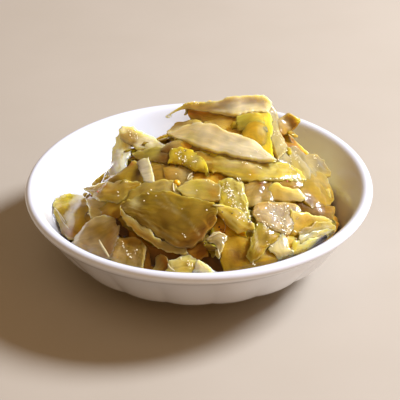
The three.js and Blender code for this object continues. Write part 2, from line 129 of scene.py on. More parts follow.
def smooth_curve(points: Array, per_span: int = 40) -> Array:
    """Runs a centripetal spline through points.

    Args:
        points: The points to pass through, one in each row.
        per_span: How many samples lie between two of them.

    Returns:
        Closely spaced points along the spline.
    """
    ends = np.vstack([2 * points[0] - points[1], points, 2 * points[-1] - points[-2]])
    gaps = np.maximum(np.linalg.norm(np.diff(ends, axis=0), axis=1) ** 0.5, 1e-4)
    share = np.linspace(0.0, 1.0, per_span, endpoint=False)[:, None]
    spans = []
    for i in range(1, len(ends) - 2):
        before, start, stop, after = ends[i - 1 : i + 3]
        d0, d1, d2 = gaps[i - 1 : i + 2]
        leave = d1 * ((start - before) / d0 - (stop - before) / (d0 + d1)) + stop - start
        arrive = d1 * ((after - stop) / d2 - (after - start) / (d1 + d2)) + stop - start
        square = (3 * (stop - start) - 2 * leave - arrive) * share**2
        cube = (2 * (start - stop) + leave + arrive) * share**3
        spans.append(start + leave * share + square + cube)
    return np.vstack([*spans, points[-1:]])


def cut_corners(points: Array, share: float = 0.2, rounds: int = 2) -> Array:
    """Takes the sharpness off a polyline's corners and keeps its ends.

    Args:
        points: The corners, one in each row.
        share: How much of each span is cut off at a corner.
        rounds: How often.

    Returns:
        The blunted polyline.
    """
    for _ in range(rounds):
        start, stop = points[:-1], points[1:]
        cuts = [start + (stop - start) * at for at in (share, 1 - share)]
        inner = np.stack(cuts, axis=1).reshape(-1, points.shape[1])
        points = np.vstack([points[:1], inner[1:-1], points[-1:]])
    return points


def evenly(curve: Array, shares: Array) -> Array:
    """Gives the points of a closely spaced curve at some shares, from 0 to 1, of its length."""
    run = np.concatenate([[0.0], np.cumsum(np.linalg.norm(np.diff(curve, axis=0), axis=1))])
    return np.column_stack([np.interp(shares * run[-1], run, column) for column in curve.T])


def run_length(curve: Array) -> float:
    """Length of a curve given by closely spaced points."""
    return float(np.linalg.norm(np.diff(curve, axis=0), axis=1).sum())


def unit(ways: Array) -> Array:
    """Directions brought to a length of 1."""
    return ways / np.maximum(np.linalg.norm(ways, axis=-1, keepdims=True), 1e-9)


def in_scene(made: Thing) -> Thing:
    """Links a new object to the scene."""
    bpy.context.scene.collection.objects.link(made)
    return made


def mesh_object(
    name: str, points: Array, faces: Array, edges: Sequence[tuple[int, int]] = ()
) -> Thing:
    """Makes a smooth shaded mesh whose place is in its vertices.

    Args:
        name: The piece's name.
        points: Vertices, in mm.
        faces: Corners of each face, all with the same number.
        edges: Edges that belong to no face.

    Returns:
        The linked object.
    """
    mesh = bpy.data.meshes.new(name)
    mesh.from_pydata((points * MM).tolist(), edges, faces.tolist())
    mesh.polygons.foreach_set("use_smooth", [True] * len(mesh.polygons))
    mesh.update()
    return in_scene(bpy.data.objects.new(name, mesh))


def set_tint(mesh: bpy.types.Mesh, colours: Array, wet: float) -> None:
    """Stores a linear colour for each vertex, and as alpha how wet it is, for the finishes."""
    layer = mesh.color_attributes.new(name="tint", type="FLOAT_COLOR", domain="POINT")
    layer.data.foreach_set("color", np.column_stack([colours, np.full(len(colours), wet)]).ravel())


def set_lay(mesh: bpy.types.Mesh, places: Array) -> None:
    """Stores each vertex's place along and across its piece, in metres, as a UV map."""
    layer = mesh.uv_layers.new(name="lay")
    corners = np.empty(len(mesh.loops), dtype=np.int32)
    mesh.loops.foreach_get("vertex_index", corners)
    layer.data.foreach_set("uv", (places[corners] * MM).ravel())


def run_tree(carrier: Thing, tree: Tree, values: dict[str, object]) -> Thing:
    """Runs a geometry tree on an object and keeps the result as its plain mesh.

    Args:
        carrier: The object whose mesh the tree starts from.
        tree: The geometry tree.
        values: The tree's inputs by name.

    Returns:
        The same object, with the new mesh and no modifier.
    """
    modifier = carrier.modifiers.new(tree.name, "NODES")
    modifier.node_group = tree
    sockets = {item.name: item.identifier for item in tree.interface.items_tree}
    for name, value in values.items():
        modifier[sockets[name]] = value
    graph = bpy.context.evaluated_depsgraph_get()
    mesh = bpy.data.meshes.new_from_object(carrier.evaluated_get(graph))
    mesh.name = carrier.name
    carrier.modifiers.remove(modifier)
    carrier.data = mesh
    return carrier


def new_tree(name: str, inputs: dict[str, str]) -> tuple[Tree, bpy.types.NodeOutputs]:
    """Starts a geometry tree with named inputs and one geometry output.

    Args:
        name: The tree's name.
        inputs: For each input's name, its socket type without "NodeSocket".

    Returns:
        The tree and its inputs' sockets.
    """
    tree = bpy.data.node_groups.new(name, "GeometryNodeTree")
    for title, kind in inputs.items():
        tree.interface.new_socket(name=title, in_out="INPUT", socket_type=f"NodeSocket{kind}")
    tree.interface.new_socket(name="Made", in_out="OUTPUT", socket_type="NodeSocketGeometry")
    return tree, add_node(tree, "NodeGroupInput").outputs


def end_tree(tree: Tree, made: Socket, finish: Socket) -> Tree:
    """Ends a geometry tree: instances made real, shaded smooth and given their finish."""
    steps = {
        "GeometryNodeRealizeInstances": {},
        "GeometryNodeSetShadeSmooth": {},
        "GeometryNodeSetMaterial": {"Material": finish},
    }
    for kind, links in steps.items():
        made = add_node(tree, kind, links={"Geometry": made, **links}).outputs["Geometry"]
    add_node(tree, "NodeGroupOutput", links={"Made": made})
    return tree


def copies(tree: Tree, points: Socket, shape: Socket, turn: Socket, size: Socket) -> Socket:
    """Lays copies of an object on points.

    Args:
        tree: The geometry tree.
        points: The points.
        shape: The object.
        turn: Each copy's rotation.
        size: Each copy's scale.

    Returns:
        The copies, as instances.
    """
    mesh = add_node(tree, "GeometryNodeObjectInfo", links={"Object": shape}).outputs["Geometry"]
    links = {"Points": points, "Instance": mesh, "Rotation": turn, "Scale": size}
    return add_node(tree, "GeometryNodeInstanceOnPoints", links=links).outputs["Instances"]


def stored(tree: Tree, name: str, kind: str) -> Socket:
    """Reads in a geometry tree what each point carries under a name."""
    settings, links = {"data_type": kind}, {"Name": name}
    return add_node(tree, "GeometryNodeInputNamedAttribute", settings, links).outputs["Attribute"]


@dataclass(frozen=True)
class Ripple:
    """A smooth random field: waves of about one length in all directions.

    Attributes:
        length: Usual wavelength, mm.
        seed: Seed of the waves.
        waves: How many are summed.
        spread: Least and greatest frequency over the usual one.
    """

    length: float
    seed: int
    waves: int = 18
    spread: Spot = (0.6, 1.5)

    def at(self, places: Array) -> Array:
        """Height of the field at some places, most of it between -2 and 2."""
        rng = np.random.default_rng(self.seed)
        ways = rng.normal(size=(places.shape[-1], self.waves))
        ways /= np.linalg.norm(ways, axis=0)
        ways *= 2 * np.pi / self.length * rng.uniform(*self.spread, self.waves)
        start = rng.uniform(0, 2 * np.pi, self.waves)
        return np.sin(places @ ways + start).sum(axis=-1) * math.sqrt(2 / self.waves)


# ---- finishes ----


class Tint(Enum):
    """Colours of salted and fermented mustard leaf, from pale stem to brown brine marks; the darkest also
    serve as painted shade in gaps.
    """

    FROST = "#ece6d2"
    IVORY = "#dccfa6"
    CREAM = "#dac68a"
    STRAW = "#d8c46a"
    CORN = "#d2b444"
    LEMON = "#d8b82a"
    GOLD = "#cfa01e"
    HONEY = "#b98a24"
    AMBER = "#9c6a12"
    SAND = "#cdb272"
    GREIGE = "#b8a67e"
    KHAKI = "#a08c4e"
    LIME = "#b8a636"
    PEAR = "#c6b878"
    OLIVE = "#967a1e"
    MOSS = "#84671a"
    DRAB = "#6c5010"
    BARK = "#7a4e10"
    UMBER = "#3c2002"
    RUSSET = "#a04a1a"

    @property
    def rgb(self) -> Array:
        """The tint as linear red, green and blue."""
        return np.array(linear(self.value)[:3])


# The tints by their own names, for the tables.
(
    FROST, IVORY, CREAM, STRAW, CORN, LEMON, GOLD, HONEY, AMBER, SAND, GREIGE, KHAKI, LIME, PEAR, OLIVE,
    MOSS, DRAB, BARK, UMBER, RUSSET,
) = Tint


def noise(tree: Tree, place: Socket, scale: float, detail: float) -> Socket:
    """A noise pattern about 0.5: its waves in a unit of place, and its octaves of detail."""
    links = {"Vector": place, "Scale": scale, "Detail": detail}
    return add_node(tree, "ShaderNodeTexNoise", links=links).outputs["Fac"]


def bump(tree: Tree, height: Socket, relief: float, under: Socket | None = None) -> Socket:
    """Directions of a surface with a relief so many mm high, over those of an earlier one."""
    links = {"Height": height, "Distance": relief * MM, "Strength": 1.0}
    links |= {"Normal": under} if under else {}
    return add_node(tree, "ShaderNodeBump", links=links).outputs["Normal"]


def spread(tree: Tree, value: Socket, given: Spot, wanted: Spot) -> Socket:
    """Stretches a value's range, clamped to its ends, to the range that is wanted."""
    keys = ("From Min", "From Max", "To Min", "To Max")
    links = {"Value": value, **dict(zip(keys, (*given, *wanted)))}
    return add_node(tree, "ShaderNodeMapRange", links=links).outputs["Result"]


def two_hues(tree: Tree, pattern: Socket, low: str, high: str) -> Socket:
    """Mixes two sRGB colours by a pattern."""
    links = {0: pattern, 6: linear(low), 7: linear(high)}
    return add_node(tree, "ShaderNodeMix", {"data_type": "RGBA"}, links).outputs[2]


@dataclass(frozen=True)
class Finish:
    """What a real stuff looks like, as one principled shader.

    Attributes:
        name: The material's name.
    """

    name: str

    def inputs(self, tree: Tree, place: Socket) -> dict[str, object]:
        """The shader's inputs: sockets to link from and constants, by their names."""
        raise NotImplementedError

    def material(self) -> bpy.types.Material:
        """Builds the material."""
        made = bpy.data.materials.new(self.name)
        made.use_nodes = True
        tree = made.node_tree
        tree.nodes.clear()
        place = add_node(tree, "ShaderNodeTexCoord").outputs["Object"]
        shader = add_node(tree, "ShaderNodeBsdfPrincipled", links=self.inputs(tree, place))
        add_node(tree, "ShaderNodeOutputMaterial", links={"Surface": shader.outputs["BSDF"]})
        return made


@dataclass(frozen=True)
class PickleFinish(Finish):
    """Pickled leaf and stem: soft translucent tissue under a film of brine and oil.

    The tissue scatters light, so thin edges glow and gaps turn warm. The film gives small, hard,
    white highlights wherever it ripples.

    Attributes:
        depth: How far light travels inside, mm.
        scatter: How far red, green and blue do, over that.
        rough: Roughness of the tissue under the film.
        rough_spread: How much smoother and rougher the mottling makes it.
        fibre_gap: Spacing of the fibres that run along a piece, mm.
        fibre_length: Length over which they vary, mm.
        fibre_relief: Their height, mm.
        mottling: Waves of the mottling in a metre.
        pore_gap: Spacing of the fine pits, mm.
        pore_relief: Their depth, mm.
        drop_gap: Spacing of the ripples in the film of brine, mm.
        drop_relief: Their height where the piece is wet, mm.
        patches: Waves in a metre of the patches with more or less ripples.
        patch_range: Where in that pattern the ripples grow from least to full.
        least_ripple: Share of the ripples that is left between the patches.
        streaks: Strength of the colour between fibres and on them.
        clouds: Strength of the colour where the mottling is low and high.
        film: Share of the film of brine.
        ramp: Tints to spread over the piece where it has no tint of its own.
        ramp_range: Where in the mottling the first and the last of them lie.
    """

    depth: float = 6.0
    scatter: Spot3 = (1.0, 0.85, 0.25)
    rough: float = 0.38
    rough_spread: Spot = (0.1, 0.12)
    fibre_gap: float = 0.9
    fibre_length: float = 30.0
    fibre_relief: float = 0.03
    mottling: float = 190.0
    pore_gap: float = 0.8
    pore_relief: float = 0.02
    drop_gap: float = 1.1
    drop_relief: float = 0.32
    patches: float = 220.0
    patch_range: Spot = (0.4, 0.6)
    least_ripple: float = 0.15
    streaks: Spot = (0.92, 1.07)
    clouds: Spot = (0.92, 1.06)
    film: float = 0.7
    ramp: tuple[Tint, ...] = ()
    ramp_range: Spot = (0.32, 0.68)

    def inputs(self, tree: Tree, place: Socket) -> dict[str, object]:
        """The shader's inputs: streaked tissue with ribs and pits, and a rippled film on it."""
        lay = add_node(tree, "ShaderNodeUVMap", {"uv_map": "lay"}).outputs["UV"]
        scale = (1 / (self.fibre_length * MM), 1 / (self.fibre_gap * MM), 1.0)
        along = add_node(tree, "ShaderNodeMapping", links={"Vector": lay, "Scale": scale})
        fibres = noise(tree, along.outputs["Vector"], 1.0, 2.0)
        mottle = noise(tree, place, self.mottling, 3.0)
        own = add_node(tree, "ShaderNodeAttribute", {"attribute_name": "tint"}).outputs
        base = self._ramped(tree, mottle) if self.ramp else own["Color"]
        streaked = self._shaded(tree, base, fibres, self.streaks)
        less, more = self.rough_spread
        pitted = bump(
            tree,
            noise(tree, place, 1 / (self.pore_gap * MM), 1.0),
            self.pore_relief,
            bump(tree, fibres, self.fibre_relief),
        )
        patch = noise(tree, place, self.patches, 1.0)
        ripples = product(
            tree,
            noise(tree, place, 1 / (self.drop_gap * MM), 0.0),
            product(tree, spread(tree, patch, self.patch_range, (self.least_ripple, 1.0)), own["Alpha"]),
        )
        return {
            "Base Color": self._shaded(tree, streaked, mottle, self.clouds),
            "Roughness": spread(tree, mottle, (0.0, 1.0), (self.rough - less, self.rough + more)),
            "Normal": pitted,
            "IOR": 1.42,
            "Specular IOR Level": 0.15,
            "Subsurface Weight": 1.0,
            "Subsurface Radius": self.scatter,
            "Subsurface Scale": self.depth * MM,
            "Coat Weight": self.film,
            "Coat Roughness": 0.035,
            "Coat IOR": 1.36,
            "Coat Normal": bump(tree, ripples, self.drop_relief, pitted),
        }

    def _ramped(self, tree: Tree, mottle: Socket) -> Socket:
        """The ramp's tints, spread by the mottling."""
        node = add_node(tree, "ShaderNodeValToRGB", links={"Fac": mottle})
        stops = node.color_ramp.elements
        places = np.linspace(*self.ramp_range, len(self.ramp))
        for number, (tint, at) in enumerate(zip(self.ramp, places)):
            stop = stops[number] if number < 2 else stops.new(at)
            stop.position = at
            stop.color = linear(tint.value)
        return node.outputs["Color"]

    @staticmethod
    def _shaded(tree: Tree, colour: Socket, pattern: Socket, strengths: Spot) -> Socket:
        """Multiplies a colour by a pattern's strengths, where it is low and where it is high."""
        links = {0: colour, "Scale": spread(tree, pattern, NOISE_RANGE, strengths)}
        return add_node(tree, "ShaderNodeVectorMath", {"operation": "SCALE"}, links).outputs["Vector"]


@dataclass(frozen=True)
class PorcelainFinish(Finish):
    """Hard white porcelain under a clear fired glaze: bluish white, smooth, wavy reflections.

    Attributes:
        white: The body's usual colour.
        warm: Its colour in warmer clouds.
        clouds: Waves of the clouds in a metre.
        glaze_wave: Length of the glaze's waves, mm.
        glaze_relief: Their height, mm.
    """

    name: str = "glazed_white_porcelain"
    white: str = "#dae1ec"
    warm: str = "#d5d3d2"
    clouds: float = 60.0
    glaze_wave: float = 9.0
    glaze_relief: float = 0.02

    def inputs(self, tree: Tree, place: Socket) -> dict[str, object]:
        """The shader's inputs: a clouded body and a wavy glaze."""
        waves = noise(tree, place, 1 / (self.glaze_wave * MM), 1.0)
        return {
            "Base Color": two_hues(tree, noise(tree, place, self.clouds, 2.0), self.white, self.warm),
            "Roughness": 0.3,
            "Normal": bump(tree, waves, self.glaze_relief),
            "IOR": 1.5,
            "Coat Weight": 0.8,
            "Coat Roughness": 0.04,
            "Coat IOR": 1.5,
        }


@dataclass(frozen=True)
class PlainFinish(Finish):
    """One stuff with a little mottling: a seed's husk, a chili flake, brine or a painted floor.

    Attributes:
        dark: Its darker colour.
        light: Its lighter colour.
        grain: Size of the mottling, mm.
        rough: Roughness.
        coat: Share of wet film over it.
    """

    dark: str
    light: str
    grain: float = 1.0
    rough: float = 0.3
    coat: float = 0.0

    def inputs(self, tree: Tree, place: Socket) -> dict[str, object]:
        """The shader's inputs: two mottled colours, and the film."""
        mottle = noise(tree, place, 1 / (self.grain * MM), 2.0)
        return {
            "Base Color": two_hues(tree, mottle, self.dark, self.light),
            "Roughness": self.rough,
            "IOR": 1.45,
            "Coat Weight": self.coat,
            "Coat Roughness": 0.05,
        }


# ---- where things lie ----


# Inside of the dish from the lip down to the axis, as radius and height.
INNER_WALL: tuple[Spot, ...] = (
    (55.3, 26.4), (51.4, 20.2), (48, 15.1), (44.6, 11), (41.5, 8.9), (37, 7.4), (30, 6.5), (18, 6.1),
    (0, 6),
)


@dataclass(frozen=True)
class Sight:
    """A view of the heap, in which the pieces are laid out.

    u runs right and v up in the picture and w towards the eye, in mm where the target is. A piece
    keeps its outline in the picture whatever its depth.

    Attributes:
        azimuth: Turn of the eye round the dish, degrees; 0 looks along +Y.
        height: Angle above the table, degrees.
        roll: How far the picture's right side hangs, degrees.
        distance: From the eye to the target.
        target: The point looked at.
    """

    azimuth: float
    height: float
    roll: float = 0.0
    distance: float = 450.0
    target: Spot3 = (0.3, 0.0, 20.0)

    @property
    def axes(self) -> Array:
        """Rows: right and up in the picture, and towards the eye."""
        turn, rise, roll = map(math.radians, (self.azimuth, self.height, self.roll))
        flat = math.cos(rise)
        toward = np.array([math.sin(turn) * flat, -math.cos(turn) * flat, math.sin(rise)])
        level = np.array([math.cos(turn), math.sin(turn), 0.0])
        right = level * math.cos(roll) - np.cross(toward, level) * math.sin(roll)
        return np.array([right, np.cross(toward, right), toward])

    @property
    def eye(self) -> Array:
        """Where the eye is."""
        return np.array(self.target) + self.axes[2] * self.distance

    def point(self, place: Array, depth: Array) -> Array:
        """Points in the dish's frame for picture places u, v and their depths w."""
        near = (1 - depth / self.distance)[..., None]
        flat = np.concatenate([place * near, depth[..., None]], axis=-1)
        return np.array(self.target) + flat @ self.axes


@dataclass(frozen=True)
class Heap:
    """The form of the heap and the room that the dish leaves for it.

    Attributes:
        centre: Middle of the dome.
        base: Height of its foot.
        rise: How high it stands over that.
        flatness: Higher, and the top is flatter.
        steepness: Lower, and the foot is steeper.
        reach: Radius every 45 degrees, from +X towards +Y.
        crown: Place, height and spread of the bump under the topmost pieces.
        gap: Clearance to the glaze.
        wall: Inner outline of the dish from the lip down, as radius and height.
        floor: Radius of the dish's floor, where its wall starts to rise.
        lip: Widest radius of the dish.
        top: Height that nothing passes.
        search: Nearest and farthest depth at which the heap is looked for, and the step.
    """

    centre: Spot = (8.0, 0.0)
    base: float = 8.0
    rise: float = 36.0
    flatness: float = 2.2
    steepness: float = 0.6
    reach: tuple[float, ...] = (43, 40, 36, 44, 58, 67, 64, 59)
    crown: tuple[float, float, float, float] = (20, 8, 9, 13)
    gap: float = 0.35
    wall: tuple[Spot, ...] = INNER_WALL
    floor: float = 41.5
    lip: float = 60.0
    top: float = 54.95
    search: Spot3 = (60.0, -60.0, -0.5)

    def height(self, x: Array, y: Array) -> Array:
        """Height of the heap's surface over x, y."""
        dx, dy = x - self.centre[0], y - self.centre[1]
        turn = np.arctan2(dy, dx) % (2 * np.pi) / (2 * np.pi) * len(self.reach)
        start = np.floor(turn).astype(int) % len(self.reach)
        share = (1 - np.cos(np.pi * (turn - np.floor(turn)))) / 2
        ring = np.array(self.reach, dtype=float)
        reach = ring[start] * (1 - share) + ring[(start + 1) % len(ring)] * share
        out = np.hypot(dx, dy) / reach
        dome = self.rise * np.maximum(1 - out**self.flatness, 0) ** self.steepness
        cx, cy, rise, spread_out = self.crown
        bulge = rise * np.exp(-((x - cx) ** 2 + (y - cy) ** 2) / (2 * spread_out**2))
        return self.base + dome + bulge

    def seat(self, sight: Sight, places: Array) -> Array:
        """Depths at which lines of sight meet the heap, or pass it closest.

        Args:
            sight: The view.
            places: u, v in its picture, one in each row.

        Returns:
            The depths w.
        """
        depth = np.arange(*self.search)
        lines = np.broadcast_to(places[:, None], (len(places), len(depth), 2))
        points = sight.point(lines, np.broadcast_to(depth, lines.shape[:2]))
        x, y, z = np.moveaxis(points, -1, 0)
        inside = np.where(np.hypot(x, y) < self.lip, self.height(x, y) - z, -np.inf)
        met = np.where((inside > 0).any(axis=1), (inside > 0).argmax(axis=1), inside.argmax(axis=1))
        return depth[met]

    def fit(self, points: Array) -> Array:
        """Presses points against the inside of the dish where they would pass into it."""
        radii, heights = np.array(self.wall[::-1]).T
        fitted = points.copy()
        out = np.hypot(points[:, 0], points[:, 1])
        room = np.interp(points[:, 2], heights + self.gap, radii - self.gap)
        steep = (out > self.floor) & (out > room)
        fitted[steep, :2] *= (room[steep] / out[steep])[:, None]
        out = np.hypot(fitted[:, 0], fitted[:, 1])
        floor = np.interp(out, radii - self.gap, heights + self.gap)
        fitted[:, 2] = np.clip(fitted[:, 2], np.where(out <= self.floor, floor, 0.0), self.top)
        return fitted


@dataclass
class Ground:
    """The heap's face in one view, softened, for pieces to lie on.

    Attributes:
        heap: The heap.
        sight: The view.
        step: Spacing of the lattice that holds its depths.
        reach: How many steps the lattice reaches sideways and up.
        soften: How often its depths are evened out.
        hem: How far inside the lattice's end a place is kept, in steps.
    """

    heap: Heap
    sight: Sight
    step: float = 2.0
    reach: tuple[int, int] = (36, 28)
    soften: int = 3
    hem: float = 0.001
    depths: Array = field(init=False)

    def __post_init__(self) -> None:
        """Reads the depths off the heap."""
        u, v = (np.arange(-n, n + 1) * self.step for n in self.reach)
        places = np.stack(np.meshgrid(u, v, indexing="ij"), axis=-1)
        depths = self.heap.seat(self.sight, places.reshape(-1, 2)).reshape(places.shape[:2])
        for _ in range(self.soften):
            wide = np.pad(depths, 1, mode="edge")
            cross = wide[2:, 1:-1] + wide[:-2, 1:-1] + wide[1:-1, 2:] + wide[1:-1, :-2]
            depths = (4 * depths + cross) / 8
        self.depths = depths

    def at(self, places: Array) -> Array:
        """Depths at some places of the picture."""
        cell = places / self.step + np.array(self.reach)
        cell = np.clip(cell, 0, np.array(self.depths.shape) - 1 - self.hem)
        i, j = np.moveaxis(np.floor(cell).astype(int), -1, 0)
        a, b = np.moveaxis(cell - np.floor(cell), -1, 0)
        low = self.depths[i, j] * (1 - a) + self.depths[i + 1, j] * a
        high = self.depths[i, j + 1] * (1 - a) + self.depths[i + 1, j + 1] * a
        return low * (1 - b) + high * b


# ---- the dish ----


def settle(piece: Thing, node: str) -> Thing:
    """Hands a finished piece to the frame and reports it.

    Args:
        piece: The finished piece.
        node: The solid that it stands for.

    Returns:
        The piece.
    """
    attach(piece, BODY)
    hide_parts(node)
    LOG.info("%s: %d faces", piece.name, len(piece.data.polygons))
    return piece


@dataclass
class Dish:
    """The fluted side dish, turned from one outline by a geometry tree.

    Attributes:
        lobes: Shallow flutes round the outside.
        lobe_depth: Depth of the creases between them.
        lobe_fullness: Below 1, the lobes are full and the creases narrow.
        lobe_turn: How far right of the front one crease is, degrees.
        segments: Facets round the axis.
        spacing: Distance between points of the outline.
        weld: Distance under which points become one, m.
        outside: Radius, height and share of the flutes' depth, from the axis to the lip.
        inside: Radius and height, from the lip down to the axis.
    """

    lobes: int = 20
    lobe_depth: float = 0.8
    lobe_fullness: float = 0.7
    lobe_turn: float = 4.7
    segments: int = 320
    spacing: float = 0.9
    weld: float = 2e-6
    outside: tuple[Spot3, ...] = (
        (0, 2.4, 0), (12, 2.4, 0), (23.3, 2.4, 0), (23.9, 1.9, 0), (24.3, 0.4, 0), (24.8, 0, 0),
        (27.2, 0, 0), (27.6, 0.4, 0), (28.7, 2.6, 0), (34, 3.5, 0.3), (40, 5, 0.7), (44.3, 6.9, 1),
        (47, 8.6, 1), (48.9, 10.4, 1), (52.3, 15.1, 1), (55.5, 20.2, 0.6), (57.3, 23.1, 0.1),
        (58.05, 24.2, 0), (58.7, 24.75, 0), (59.45, 25.6, 0), (60, 27, 0), (59.3, 28.1, 0),
        (58, 28.5, 0),
    )
    inside: tuple[Spot, ...] = ((56.6, 27.9), *INNER_WALL)

    def outline(self) -> Array:
        """Evenly spaced points round the section: radius, height and share of the flutes."""
        knots = np.array([*self.outside, *((r, z, 0.0) for r, z in self.inside)])
        curve = smooth_curve(knots)
        curve[:, :2] = np.maximum(curve[:, :2], 0.0)
        count = round(run_length(curve[:, :2]) / self.spacing)
        return evenly(curve, np.linspace(0, 1, count))

    def tree(self) -> Tree:
        """Geometry tree that sweeps an outline round the axis and presses the flutes in."""
        kinds = {"Outline": "Geometry", "Points": "Int", "Segments": "Int", "Lobes": "Float"}
        kinds |= {f"Lobe {name}": "Float" for name in ("depth", "fullness", "turn")}
        tree, given = new_tree("fluted_dish", kinds | {"Finish": "Material"})
        sums: dict[str, object] = {item.name: item for item in given if item.name}
        sums["Index"] = add_node(tree, "GeometryNodeInputIndex").outputs[0]

        def work_out(*steps: tuple) -> None:
            """Adds sums to the tree: a name, an operation and what it works on."""
            for name, operation, *values in steps:
                links = {k: sums.get(value, value) for k, value in enumerate(values)}
                node = add_node(tree, "ShaderNodeMath", {"operation": operation}, links)
                sums[name] = node.outputs[0]

        work_out(
            ("Columns", "ADD", "Segments", 1),
            ("Turns", "DIVIDE", "Index", "Points"),
            ("Column", "FLOOR", "Turns"),
            ("Row", "MODULO", "Index", "Points"),
        )
        position = add_node(tree, "GeometryNodeInputPosition").outputs[0]
        links = {"Geometry": given["Outline"], "Value": position, "Index": sums["Row"]}
        knot = add_node(tree, "GeometryNodeSampleIndex", {"data_type": "FLOAT_VECTOR"}, links)
        parts = add_node(tree, "ShaderNodeSeparateXYZ", links={0: knot.outputs[0]}).outputs
        sums["Radius"], sums["Flute share"] = parts["X"], parts["Y"]
        work_out(
            ("Share", "DIVIDE", "Column", "Segments"),
            ("Angle", "MULTIPLY", "Share", math.tau),
            ("Front", "SUBTRACT", "Lobe turn", math.pi / 2),
            ("Turn", "SUBTRACT", "Angle", "Front"),
            ("Half lobes", "DIVIDE", "Lobes", 2),
            ("Phase", "MULTIPLY", "Turn", "Half lobes"),
            ("Wave", "SINE", "Phase"),
            ("Swell", "ABSOLUTE", "Wave"),
            ("Fullness", "POWER", "Swell", "Lobe fullness"),
            ("Crease", "SUBTRACT", 1, "Fullness"),
            ("Press", "MULTIPLY", "Crease", "Lobe depth"),
            ("Local press", "MULTIPLY", "Press", "Flute share"),
            ("Pressed radius", "SUBTRACT", "Radius", "Local press"),
            ("Cosine", "COSINE", "Angle"),
            ("Sine", "SINE", "Angle"),
            ("X", "MULTIPLY", "Pressed radius", "Cosine"),
            ("Y", "MULTIPLY", "Pressed radius", "Sine"),
        )
        links = {"Vertices X": sums["Columns"], "Vertices Y": given["Points"]}
        grid = add_node(tree, "GeometryNodeMeshGrid", links=links).outputs["Mesh"]
        links = {"X": sums["X"], "Y": sums["Y"], "Z": parts["Z"]}
        place = add_node(tree, "ShaderNodeCombineXYZ", links=links).outputs[0]
        links = {"Geometry": grid, "Position": place}
        swept = add_node(tree, "GeometryNodeSetPosition", links=links).outputs[0]
        links = {"Geometry": swept, "Distance": self.weld}
        merged = add_node(tree, "GeometryNodeMergeByDistance", links=links).outputs[0]
        return end_tree(tree, merged, given["Finish"])

    def build(self, finish: PorcelainFinish) -> Thing:
        """Makes the dish, dressed in glazed porcelain."""
        outline = self.outline()
        knots = np.column_stack([outline[:, 0], outline[:, 2] / MM, outline[:, 1]])
        dish = mesh_object("fluted_dish", knots, NO_FACES)
        values = {
            "Points": len(knots),
            "Segments": self.segments,
            "Lobes": float(self.lobes),
            "Lobe depth": self.lobe_depth * MM,
            "Lobe fullness": self.lobe_fullness,
            "Lobe turn": math.radians(self.lobe_turn),
            "Finish": finish.material(),
        }
        run_tree(dish, self.tree(), values)
        shape = bmesh.new()
        shape.from_mesh(dish.data)
        bmesh.ops.recalc_face_normals(shape, faces=shape.faces)
        shape.to_mesh(dish.data)
        shape.free()
        return settle(dish, DISH_NODE)


# ---- the greens ----


@dataclass(frozen=True)
class Tissue:
    """How one kind of tissue lies, in mm.

    Attributes:
        rounding: Width over which its edges round off.
        ragged: How uneven its outline is.
        lump: Slow bends of the whole piece.
        wrinkle: Folds about 3 mm apart.
        grain: Bumps about 1.7 mm apart.
        rib: Height of the ribs along it.
        rib_gap: Spacing of the ribs.
    """

    rounding: float
    ragged: float
    lump: float
    wrinkle: float
    grain: float
    rib: float
    rib_gap: float


class Cut(Enum):
    """What a piece was cut from."""

    STEM = Tissue(0.5, 0.14, 0.15, 0.02, 0.02, 0.01, 2.4)
    BLADE = Tissue(0.35, 0.22, 0.22, 0.06, 0.03, 0.04, 3.2)
    SKIN = Tissue(0.4, 0.20, 0.22, 0.06, 0.03, 0.01, 2.6)
    PULP = Tissue(0.5, 0.22, 0.18, 0.04, 0.03, 0.01, 2.2)


STEM, BLADE, SKIN, PULP = Cut


@dataclass(frozen=True)
class Piece:
    """One piece of leaf or stem between two rails in the picture.

    Attributes:
        name: Its name.
        cut: Its kind of tissue.
        up: Upper rail.
        low: Lower rail, run the same way.
        thick: Thickness.
        proud: Height above the heap.
        lean: How far its top tips away, degrees.
        turn: How far its right side tips away, degrees.
        cup: How far its middle bulges out.
        tuck: How far it reaches past its rails, under its neighbours.
        tints: Colours at the start and end of the upper rail, then of the lower rail.
        edge: Colour of its thin rims: partly the cut tissue's own colour, partly painted glow of light
            through thin tissue.
        shade: How much lighter than its tints it is.
        wet: How strongly it wrinkles, and the film of brine on it ripples.
        stains: Soft spots: where in the picture, how wide, and their tint. Most are its own colour; a few
            are painted shade, and one is painted light.
        veins: Thin lines: their tint, and where they run in the picture.
    """

    name: str
    cut: Cut
    up: Rail
    low: Rail
    thick: float
    proud: float = 0.0
    lean: float = 0.0
    turn: float = 0.0
    cup: float = 0.5
    tuck: float = 0.1
    tints: tuple[Tint, Tint, Tint, Tint] = (OLIVE,) * 4
    edge: Tint | None = None
    shade: float = 1.0
    wet: float = 0.4
    stains: tuple[Stain, ...] = ()
    veins: tuple[Vein, ...] = ()


